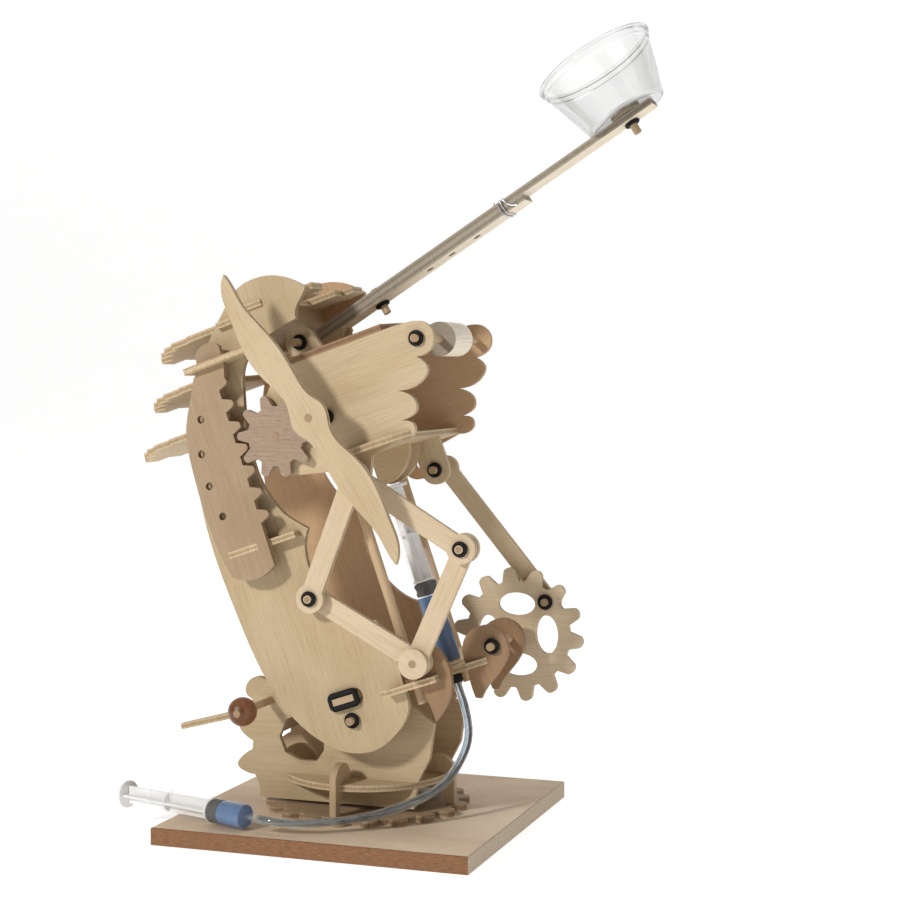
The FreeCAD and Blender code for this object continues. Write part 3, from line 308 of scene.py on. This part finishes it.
def clear_plastic(name, tint, roughness, see_through, ior=1.45, wave=0.05, rim=1.0,
                  cover=1.0):
    """Moulded clear plastic with slight flow marks and fine scuffs.

    see_through is its transmission, rim the grey of a painted shade where it is seen edge on,
    standing in for reflections of darker surroundings, cover its alpha.
    """
    shader = Shader(name)
    place = shader.place()
    flow = shader.noise(place, (60, 60, 60), 3.0, 0.5)
    scuffs = shader.noise(place, (900, 900, 900), 3.0, 0.6)
    body = shader.ramp(flow, (0.3, shade(tint, 0.96)), (0.7, tint))
    # Painted reflection: the colour darkens where the surface is seen edge on, in place of darker
    # surroundings reflected there.
    if rim < 1.0:
        weight = shader.tree.nodes.new("ShaderNodeLayerWeight")
        weight.inputs["Blend"].default_value = 0.35
        painted_rim_shade = shader.mix(1.0, body, (rim, rim, rim, 1.0), "MULTIPLY")
        body = shader.mix(weight.outputs["Facing"], body, painted_rim_shade)
    shader.set(Base_Color=body)
    shader.set(Roughness=shader.math("ADD", roughness, shader.math("MULTIPLY", scuffs, 0.06)))
    shader.set(Transmission_Weight=see_through, IOR=ior, Alpha=cover)
    shader.bump(flow, wave, 0.4)
    return shader.material


def coloured_water(name, tint, see_through):
    """Blue-dyed water, slightly uneven in depth of colour."""
    shader = Shader(name)
    swirl = shader.noise(shader.place(), (120, 120, 120), 3.0, 0.5)
    shader.set(Base_Color=shader.ramp(swirl, (0.3, shade(tint, 0.85)), (0.7, shade(tint, 1.1))))
    shader.set(Roughness=shader.math("ADD", 0.03, shader.math("MULTIPLY", swirl, 0.04)))
    shader.set(Transmission_Weight=see_through, IOR=1.33)
    return shader.material


def steel(name):
    """Drawn steel wire with fine scratches along it."""
    shader = Shader(name)
    scratches = shader.noise(shader.place(), (3000, 400, 3000), 3.0, 0.6)
    shader.set(Base_Color=shader.ramp(scratches, (0.3, (0.42, 0.42, 0.42)),
                                      (0.7, (0.66, 0.65, 0.63))))
    shader.set(Roughness=shader.math("ADD", 0.22, shader.math("MULTIPLY", scratches, 0.2)))
    shader.set(Metallic=1.0)
    return shader.material


# Tones of the plywood, dowels and turned pieces
PALE = (0.600, 0.475, 0.305)
CREAM = (0.690, 0.560, 0.390)
TAN = (0.520, 0.385, 0.240)
WARM = (0.410, 0.298, 0.190)
DOWEL = (0.560, 0.405, 0.245)
STAIN = (0.215, 0.088, 0.036)
# painted shade: the pale ply darkened for the near arm plate and near cheek, standing in for the
# shade that falls on them
PALE_IN_PAINTED_SHADE = (0.545, 0.428, 0.268)
SHADED = (0.575, 0.388, 0.230)
# painted deep shade: the ply made dark brown for the claw brackets and hand deck, which sit in
# shadow
PLY_IN_DEEP_PAINTED_SHADE = (0.335, 0.210, 0.118)
BRIGHT = (0.880, 0.790, 0.640)

RUBBER = rubber("black_rubber")
BARREL = clear_plastic("clear_barrel", (0.93, 0.93, 0.92), 0.08, 0.0, cover=0.07)
FROSTED = clear_plastic("frosted_plunger", (0.97, 0.965, 0.955), 0.30, 0.12)
# The cup and the hose darken at their rims with this painted reflection shade.
CUP = clear_plastic("clear_cup", (0.97, 0.975, 0.97), 0.0, 1.0, wave=0.02, rim=0.62)
HOSE = clear_plastic("clear_hose", (0.93, 0.95, 0.96), 0.0, 1.0, ior=1.36, rim=0.75)
WATER = coloured_water("blue_water", (0.050, 0.200, 0.480), 0.40)
THIN_WATER = coloured_water("hose_water", (0.56, 0.66, 0.74), 0.85)
STEEL = steel("steel_wire")


def paint(node, material):
    """Give a carried-over CAD node its material."""
    slots = frame["nodes"][node].data.materials
    if not slots:
        slots.append(material)
    for index in range(len(slots)):
        slots[index] = material


def lowest(node, normal):
    """How far a node's lowest face lies along a plate's normal."""
    return min(vertex.co.dot(normal) for vertex in frame["nodes"][node].data.vertices)


SWORD_LINE = (UP * 0.971 - ALONG * 0.240).normalized()
LEFT_LOW = between("left_lower_swing", "left_upper_swing")
RIGHT_LOW = between("right_lower_swing", "right_upper_swing")
LINKS_TOP = arm_point(53, 0, 139)
LEFT_HIGH = (LINKS_TOP - Vector(JOINTS["left_upper_swing"]["pos_m"])).normalized()
RIGHT_HIGH = (LINKS_TOP - Vector(JOINTS["right_upper_swing"]["pos_m"])).normalized()
ROD_LINE = (arm_point(114.5, 0, 30.7) - Vector(JOINTS["long_rod_swing"]["pos_m"])).normalized()

# node: (tone, grain, plate normal)
PLATES = {
    # the near arm plate and near cheek take the pale ply darkened with painted shade
    "near_arm_plate": (PALE_IN_PAINTED_SHADE, UP, Y), "far_arm_plate": (SHADED, UP, Y),
    "near_cheek": (PALE_IN_PAINTED_SHADE, X, Y), "far_cheek": (TAN, X, Y),
    "near_wing": (PALE, ALONG, Y), "far_wing": (SHADED, ALONG, Y),
    "sword": (PALE, SWORD_LINE, Y), "rack_plate": (WARM, UP, Y),
    "left_lower_link": (CREAM, LEFT_LOW, Y), "right_lower_link": (CREAM, RIGHT_LOW, Y),
    "left_upper_link": (CREAM, LEFT_HIGH, Y), "right_upper_link": (CREAM, RIGHT_HIGH, Y),
    "front_gear": (CREAM, X, Y), "long_rod": (PALE, ROD_LINE, Y),
    "chin_plates": (PALE, ALONG, Y), "hand_lugs": (PALE, UP, Y),
    # claw_brackets here and hand_deck below take the ply darkened with painted deep shade
    "catapult_root": (PALE, SLAT_ALONG, Y), "claw_brackets": (PLY_IN_DEEP_PAINTED_SHADE, UP, Y),
    # base_gear takes the darker WARM tone as painted shade from the turret disc above it
    "turret_disc": (PALE, X, Z), "base_gear": (WARM, X, Z),
    "spine_plates": (PALE, Y, UP), "rack_guides": (PALE, ALONG, UP),
    "head_crest": (PALE, Y, UP), "head_wall": (TAN, Y, ALONG),
    "shelf_plate": (PALE, ALONG, UP), "hand_deck": (PLY_IN_DEEP_PAINTED_SHADE, Y, UP),
    "hand_floor": (PALE, ALONG, UP), "lower_slat": (BRIGHT, SLAT_ALONG, SLAT_UP),
    "upper_slat": (BRIGHT, SLAT_ALONG, SLAT_UP), "tail_lever": (PALE, TAIL_ALONG, TAIL_UP),
    "cup_washer": (CREAM, SLAT_ALONG, SLAT_UP), "arm_pins": (CREAM, LEFT_LOW, Y),
}
# the slats' edges are drawn far darker than their faces
DARKER_EDGED = ("lower_slat", "upper_slat")
# node: (tone, grain) for plates that stand both ways in one node
CROSSED = {"glide_legs": (TAN, Z), "turret_bars": (TAN, Y)}
# node: (tone, axis)
DOWELS = {
    "hand_dowels": (DOWEL, Y), "arm_pivot_dowel": (DOWEL, Y), "gear_pins": (DOWEL, Y),
    "guide_rods": (DOWEL, UP), "catapult_pegs": (DOWEL, SLAT_UP),
    "turret_post": (DOWEL, Z), "roller": (BRIGHT, Y),
    "crank_dowel": (DOWEL, Y), "crank_ball": (STAIN, Y),
}
RINGS = ("turret_rings", "hand_rings", "catapult_rings", "gear_rings")


def paint_frame():
    """Materials for every CAD node that stays in view."""
    for shift, (node, (tone, grain, normal)) in enumerate(PLATES.items()):
        low = lowest(node, normal)
        edge_tone = 0.42 if node in DARKER_EDGED else 1.0
        paint(node, plywood(node + "_ply", tone, grain, normal, low, shift, True, edge_tone))
    for shift, (node, (tone, grain)) in enumerate(CROSSED.items()):
        normal = X if abs(grain.x) < 0.5 else Z
        paint(node, plywood(node + "_ply", tone, grain, normal, 0.0, shift, False))
    for shift, (node, (tone, axis)) in enumerate(DOWELS.items()):
        gloss = 0.22 if node == "crank_ball" else 0.46
        end_tone = 0.55 if node == "roller" else 1.0
        paint(node, turned_wood(node + "_wood", tone, axis, shift, gloss, end_tone))
    for node in RINGS:
        paint(node, RUBBER)
    paint("board", fibreboard("board_mdf"))
    paint("pinion", walnut("pinion_walnut", X, lowest("pinion", Y)))
    paint("upper_barrel", BARREL)
    paint("hand_barrel", BARREL)
    paint("hose_connector", RUBBER)


# ---------------------------------------------------------------------- pieces
def add_object(name, data):
    """A new object in the scene."""
    obj = bpy.data.objects.new(name, data)
    bpy.context.scene.collection.objects.link(obj)
    return obj


def piece(name, data, material, body=None):
    """A finished mesh or curve as an object that rides on a body."""
    obj = add_object(name, data)
    data.materials.append(material)
    if body:
        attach(obj, body)
    return obj


def finished(name, bm, place=None, angle=40.0):
    """The bmesh as a smooth-shaded mesh; edges sharper than the angle stay sharp."""
    mesh = bpy.data.meshes.new(name)
    bm.to_mesh(mesh)
    bm.free()
    if place is not None:
        mesh.transform(place)
    mesh.polygons.foreach_set("use_smooth", [True] * len(mesh.polygons))
    mesh.set_sharp_from_angle(angle=math.radians(angle))
    return mesh


def round_turn(count):
    """Equal angles once round a circle."""
    return [2 * math.pi * step / count for step in range(count)]


def smooth_spline(curve, places):
    """Add the smooth NURBS spline with these control points, from the first to the last."""
    spline = curve.splines.new("NURBS")
    spline.points.add(len(places) - 1)
    for control, place in zip(spline.points, places):
        control.co = (*place, 1.0)
    spline.order_u = 3
    spline.use_endpoint_u = True
    return spline


def lathe(name, profile, place, segments=72):
    """A closed solid of revolution: (radius, height) points round the local z axis."""
    bm = bmesh.new()
    rings = []
    for radius, height in profile:
        if radius < 1e-6:
            rings.append([bm.verts.new((0, 0, height))])
            continue
        rings.append([bm.verts.new((radius * math.cos(t), radius * math.sin(t), height))
                      for t in round_turn(segments)])
    for low, high in zip(rings, rings[1:] + rings[:1]):
        if len(low) == 1 and len(high) == 1:
            continue
        for step in range(segments):
            after = (step + 1) % segments
            corners = [low[step % len(low)], low[after % len(low)],
                       high[after % len(high)], high[step % len(high)]]
            bm.faces.new(list(dict.fromkeys(corners)))
    bmesh.ops.recalc_face_normals(bm, faces=bm.faces)
    return finished(name, bm, place)


def rounded(points, radius, steps=5):
    """Profile corners replaced by small arcs; the first and last points stay."""
    result = [points[0]]
    for before, corner, after in zip(points, points[1:], points[2:]):
        corner = Vector(corner)
        back = Vector(before) - corner
        ahead = Vector(after) - corner
        reach = min(radius, back.length * 0.45, ahead.length * 0.45)
        start = corner + back.normalized() * reach
        end = corner + ahead.normalized() * reach
        for step in range(steps + 1):
            share = step / steps
            result.append(tuple(start * (1 - share) ** 2 + corner * 2 * share * (1 - share)
                                + end * share ** 2))
    result.append(points[-1])
    return result


# --------------------------------------------------------------------- syringes
# Pistons and discs are heights above the foot of their own barrel, in millimetres.
BORE = 7.2
SEAL_LENGTH = 9.0
DISC_THICK = 2.0
UPPER_LAY = axes_at(arm_point(52, 0, 12.3), UP)
UPPER_PISTON = 44.5
UPPER_DISC = 116.4
HAND_LAY = axes_at(Vector((-41.0, -88.9, 18.9)) * MM, HAND_AXIS, Z)
HAND_PISTON = 20.0
HAND_DISC = 102.0


def seal(name, piston, place, body):
    """The black seal: two sealing lips with a waist between them."""
    outline = [(0, 0), (5.6, 0.5), (6.9, 1.0), (BORE, 1.5), (BORE, 2.7), (6.6, 3.3), (6.6, 5.6),
               (BORE, 6.3), (BORE, 7.6), (6.8, 8.3), (5.0, SEAL_LENGTH), (0, SEAL_LENGTH)]
    profile = [(radius, piston + height) for radius, height in outline]
    mesh = lathe(name, rounded(profile, 0.5), place)
    return piece(name, mesh, RUBBER, body)


def stem(name, piston, disc_top, place, body):
    """The plunger's stem: crossed tapering ribs, a collar above the seal and a thumb disc."""
    low = piston + SEAL_LENGTH
    high = disc_top - DISC_THICK
    reach = BORE - 1.3
    rib_thick = 1.4
    bm = bmesh.new()
    for turn in (0, 90):
        rib = bmesh.ops.create_cube(bm, size=1.0)
        spin = Matrix.Rotation(math.radians(turn), 4, "Z")
        for vertex in rib["verts"]:
            x, y, z = vertex.co
            taper = 1.0 if z < 0 else 0.93
            vertex.co = spin @ Vector((x * 2 * reach * taper, y * rib_thick,
                                       low + (z + 0.5) * (high - low)))
    bmesh.ops.bevel(bm, geom=bm.edges[:], offset=0.25, segments=2, affect="EDGES")
    ribs = piece(name, finished(name, bm, place), FROSTED, body)
    middle = (low + high) / 2
    collars = (("_foot", 6.6, low + 0.1, 1.6), ("_middle_collar", 5.4, middle, 1.0))
    for ending, radius, start, thick in collars:
        profile = [(0, start), (radius, start), (radius, start + thick), (0, start + thick)]
        ring = lathe(name + ending, rounded(profile, 0.3), place)
        piece(name + ending, ring, FROSTED, body)
    profile = [(0, high), (8.5, high), (8.5, disc_top), (7.0, disc_top), (6.6, disc_top - 0.4),
               (0, disc_top - 0.4)]
    disc = lathe(name + "_disc", rounded(profile, 0.6), place)
    piece(name + "_disc", disc, FROSTED, body)
    return ribs


def water(name, piston, place, node):
    """The water between nozzle and piston; its far end sits at the piston."""
    foot = 2.2
    top = piston - 0.1
    rows = 8
    profile = [(0, foot), (6.6, foot)]
    profile += [(7.1, foot + 0.5 + (top - foot - 0.6) * row / rows) for row in range(rows + 1)]
    profile += [(0, top)]
    mesh = lathe(name, profile, place)
    column = piece(name, mesh, WATER)
    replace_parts(column, node)
    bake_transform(column)


def syringes():
    """Both plungers and both columns of water."""
    upper = stem("upper_stem", UPPER_PISTON, UPPER_DISC, UPPER_LAY, "hand")
    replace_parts(upper, "upper_plunger")
    seal("upper_seal", UPPER_PISTON, UPPER_LAY, "hand")
    lower = stem("hand_stem", HAND_PISTON, HAND_DISC, HAND_LAY, "hand_plunger")
    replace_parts(lower, "hand_plunger")
    seal("hand_seal", HAND_PISTON, HAND_LAY, "hand_plunger")
    water("upper_water", UPPER_PISTON, UPPER_LAY, "upper_liquid")
    water("hand_water", HAND_PISTON, HAND_LAY, "hand_liquid")


# ------------------------------------------------------------------------ hose
HOSE_DIAMETER = 5.2
WATER_RADIUS = 1.6
HOSE_LOWER = [(-33.35, -91.24, 18.9), (-25.7, -93.58, 18.9), (-14.5, -91.5, 18.0),
              (-0.5, -84.5, 17.4), (16.0, -73.5, 18.0), (33.0, -61.5, 20.5), (49.0, -46.5, 25.5),
              (62.3, -29.0, 33.5), (65.15, -19.5, 41.5)]
HOSE_UPPER = [(65.15, -19.5, 41.5), (68.0, -10.0, 49.5), (67.6, -1.5, 60.0),
              (65.3, 0.0, 72.1), (62.1, 0.0, 82.0), (59.17, 0.0, 89.93)]


def hose_line(name, points):
    """The points of the route's smooth line."""
    curve = bpy.data.curves.new(name, "CURVE")
    curve.dimensions = "3D"
    spline = smooth_spline(curve, [Vector(point) * MM for point in points])
    spline.resolution_u = 14
    holder = bpy.data.objects.new(name, curve)
    line = bpy.data.meshes.new_from_object(holder)
    places = [vertex.co.copy() for vertex in line.vertices]
    bpy.data.objects.remove(holder)
    return places


def tube(name, line, radius, sides=28):
    """A round tube along a line, its rings carried without twist."""
    bm = bmesh.new()
    heading = (line[1] - line[0]).normalized()
    across = heading.orthogonal().normalized()
    rings = []
    for index, place in enumerate(line):
        before = line[max(index - 1, 0)]
        after = line[min(index + 1, len(line) - 1)]
        heading = (after - before).normalized()
        across = (across - heading * across.dot(heading)).normalized()
        upward = heading.cross(across)
        rings.append([bm.verts.new(place + (across * math.cos(t) + upward * math.sin(t))
                                   * radius * MM) for t in round_turn(sides)])
    for low, high in zip(rings, rings[1:]):
        for side in range(sides):
            after = (side + 1) % sides
            bm.faces.new((low[side], low[after], high[after], high[side]))
    return finished(name, bm)


def hose(name, points, node):
    """One stretch of the hose, its water inside, a fixed curve between two bodies."""
    line = hose_line(name + "_line", points)
    outer = piece(name, tube(name, line, HOSE_DIAMETER / 2), HOSE)
    core = piece(name + "_water", tube(name + "_water", line, WATER_RADIUS), THIN_WATER)
    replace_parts(outer, node)
    for part in (outer, core):
        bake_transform(part)


def hoses():
    """The hose from the hand syringe to the turret's side, and on to the tall syringe."""
    hose("lower_hose", HOSE_LOWER, "hose_lower")
    hose("upper_hose", HOSE_UPPER, "hose_upper")


# ---------------------------------------------------------------- small fittings
CUP_AT = 237.0
SLAT_TOP = 7.1


def slat_point(x, y, z):
    """A point given in millimetres along the catapult's own directions."""
    return SLAT_PIVOT + (SLAT_ALONG * x + Y * y + SLAT_UP * z) * MM


def cup():
    """The thin clear cup: a stepped foot, sloping wall, stacking step and rolled rim."""
    base = 0.65
    outside = [(2.6, 0.0), (22.6, 0.0), (23.4, 0.5), (24.4, 0.5), (25.4, 1.3), (25.9, 2.8),
               (34.6, 32.6), (35.2, 33.6), (35.9, 34.2), (36.0, 37.4), (36.5, 37.9),
               (37.3, 37.9), (37.45, 38.6), (37.45, 39.2), (37.0, 39.9), (36.3, 39.95)]
    inside = [(35.5, 39.5), (35.35, 38.6), (35.3, 34.7), (34.6, 34.1), (34.0, 32.9),
              (25.3, 3.1), (24.8, 1.9), (24.0, 1.1), (23.2, 1.1), (22.4, base),
              (2.6, base)]
    profile = rounded(outside + inside, 0.35, 3)
    mesh = lathe("thrower_cup", profile, axes_at(slat_point(CUP_AT, 0, SLAT_TOP), SLAT_UP), 128)
    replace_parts(piece("thrower_cup", mesh, CUP, "catapult"), "cup")


def wire_loop():
    """The spring clip: steel wire wound twice round both slats, with two loose ends."""
    half = 8.7
    low = -1.55
    high = 7.75
    at = 145.0
    route = [(at - 4.2, -3.0, high + 0.6), (at - 2.4, -half, high + 0.2)]
    for turn in range(2):
        lean = at - 1.0 + 2.2 * turn
        route += [(lean, -half, high - 1.5), (lean + 0.2, -half, low + 1.5),
                  (lean + 0.3, -half + 0.6, low), (lean + 0.5, 0.0, low),
                  (lean + 0.7, half - 0.6, low), (lean + 0.8, half, low + 1.5),
                  (lean + 1.1, half, high - 1.5), (lean + 1.3, half - 0.6, high),
                  (lean + 1.6, 0.0, high + 0.3), (lean + 2.0, -half + 0.6, high)]
    route += [(at + 3.4, -half, high - 1.5), (at + 5.0, -half - 0.3, low + 2.6),
              (at + 9.5, -half - 0.6, low + 0.4)]
    curve = bpy.data.curves.new("clip_wire", "CURVE")
    curve.dimensions = "3D"
    curve.bevel_depth = 0.6 * MM
    curve.bevel_resolution = 5
    curve.use_fill_caps = True
    smooth_spline(curve, [slat_point(*place) for place in route])
    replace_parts(piece("clip_wire", curve, STEEL, "catapult"), "spring_clip")


def o_ring(name, centre, axis, body, inner=2.35, thick=1.2):
    """A rubber ring squeezed on a dowel."""
    section = [(inner + thick + thick * math.cos(t), thick * math.sin(t))
               for t in round_turn(16)]
    mesh = lathe(name, section, axes_at(centre, axis, Z), 48)
    piece(name, mesh, RUBBER, body)


PIN_RADIUS = 2.44


def pin_end(name, tip_y, face_y, centre, body, material):
    """The bare end of a pin in front of a face, with a small chamfer at its tip."""
    length = face_y - tip_y + 0.05
    chamfer = min(0.45, length * 0.6)
    profile = [(0, 0), (PIN_RADIUS, 0), (PIN_RADIUS, length - chamfer),
               (PIN_RADIUS - chamfer, length), (0, length)]
    start = Vector((centre.x, face_y * MM, centre.z))
    mesh = lathe(name, profile, axes_at(start, -Y, Z), 40)
    piece(name, mesh, material, body)


def elbows():
    """Pin ends and rings in front of the two elbows of the linkage."""
    wood = turned_wood("elbow_pin_wood", DOWEL, Y, 9.0)
    elbow_pins = (("left", "left_upper_swing", -64.4, -60.8, "left_lower_link"),
                  ("right", "right_upper_swing", -68.7, -65.1, "right_lower_link"))
    for side, joint, tip, face, body in elbow_pins:
        centre = Vector(JOINTS[joint]["pos_m"])
        pin_end(side + "_elbow_pin_end", tip, face, centre, body, wood)
        ring_at = Vector((centre.x, (face - 1.3) * MM, centre.z))
        o_ring(side + "_elbow_ring", ring_at, Y, body)


def base_pin():
    """The links' lower pin shows in the middle of its washer."""
    wood = turned_wood("base_pin_wood", DOWEL, Y, 12.0)
    centre = arm_point(53, 0, 22)
    pin_end("base_pin_end", -63.4, -63.1, centre, "arm", wood)


def stop_band():
    """The rubber band round the stop bar's near end, in front of the arm's slot."""
    middle_a = -0.75
    middle_b = 13.2
    y = -52.1
    thick = 1.9
    half_a = 6.4
    half_b = 2.0
    corners = []
    centres = ((half_a, half_b, 0), (-half_a, half_b, 90), (-half_a, -half_b, 180),
               (half_a, -half_b, 270))
    for a, b, first in centres:
        for step in range(7):
            turn = math.radians(first + 15 * step)
            corners.append(arm_point(middle_a + a + thick * math.cos(turn), y,
                                     middle_b + b + thick * math.sin(turn)))
    mesh = tube("stop_band", corners + corners[:1], thick, 20)
    piece("stop_band", mesh, RUBBER, "turret")


# --------------------------------------------------------------- stage and light
def stage():
    """A pale floor that curves up into a backdrop."""
    bm = bmesh.new()
    back = 2.0
    bend = 1.2
    gap = 0.0002
    section = [(-3.0, 0.0), (back, 0.0)]
    section += [(back + bend * math.sin(math.radians(t)), bend - bend * math.cos(math.radians(t)))
                for t in range(10, 91, 10)]
    section += [(back + bend, 5.0)]
    rows = [[bm.verts.new((side, y, z - gap)) for y, z in section] for side in (-5.0, 5.0)]
    for step in range(len(section) - 1):
        bm.faces.new((rows[0][step], rows[1][step], rows[1][step + 1], rows[0][step + 1]))
    mesh = finished("studio_floor", bm, angle=60.0)
    shader = Shader("studio_paper", 0.9)
    paper = shader.noise(shader.place(), (40, 40, 40), 2.0)
    shader.set(Base_Color=shader.ramp(paper, (0.3, (0.60, 0.60, 0.60)),
                                      (0.7, (0.63, 0.63, 0.63))))
    shader.set(Emission_Color=(*WHITE, 1.0), Emission_Strength=0.72)
    mesh.materials.append(shader.material)
    add_object("studio_floor", mesh)


def area_light(name, place, aim, power, size, colour=WHITE):
    """A round area light that faces a point."""
    lamp = bpy.data.lights.new(name, "AREA")
    lamp.energy = power
    lamp.shape = "DISK"
    lamp.size = size
    lamp.color = colour
    obj = add_object(name, lamp)
    obj.location = place
    obj.rotation_euler = (Vector(aim) - Vector(place)).to_track_quat("-Z", "Y").to_euler()


def light():
    """Soft studio light: a key from the front left, a fill from the right, and one above."""
    middle = (0.0, 0.0, 0.2)
    area_light("key", (-0.98, -1.85, 1.22), middle, 33.0, 0.30, (1.0, 0.985, 0.965))
    area_light("fill", (1.7, -0.9, 0.9), middle, 4.0, 1.2)
    area_light("top", (0.1, 0.1, 1.9), middle, 7.0, 0.8)
    world = bpy.data.worlds.new("studio_air")
    world.use_nodes = True
    air = world.node_tree.nodes["Background"]
    air.inputs["Color"].default_value = (1.0, 0.97, 0.93, 1.0)
    air.inputs["Strength"].default_value = 0.10
    bpy.context.scene.world = world
    bpy.context.scene.view_settings.view_transform = "Standard"


def camera():
    """The photograph's viewpoint: a little above the middle, from the front right."""
    turn = math.radians(19.2)
    dip = math.radians(2.646)
    lens = bpy.data.cameras.new("camera")
    lens.lens = 74.0
    lens.sensor_width = 36.0
    obj = add_object("camera", lens)
    obj.location = (0.428213, -1.073180, 0.286638)
    heading = Vector((-math.sin(turn) * math.cos(dip), math.cos(turn) * math.cos(dip),
                      -math.sin(dip)))
    obj.rotation_euler = heading.to_track_quat("-Z", "Y").to_euler()
    bpy.context.scene.camera = obj


camera()
hoses()
paint_frame()
syringes()
cup()
wire_loop()
elbows()
base_pin()
stop_band()
stage()
light()
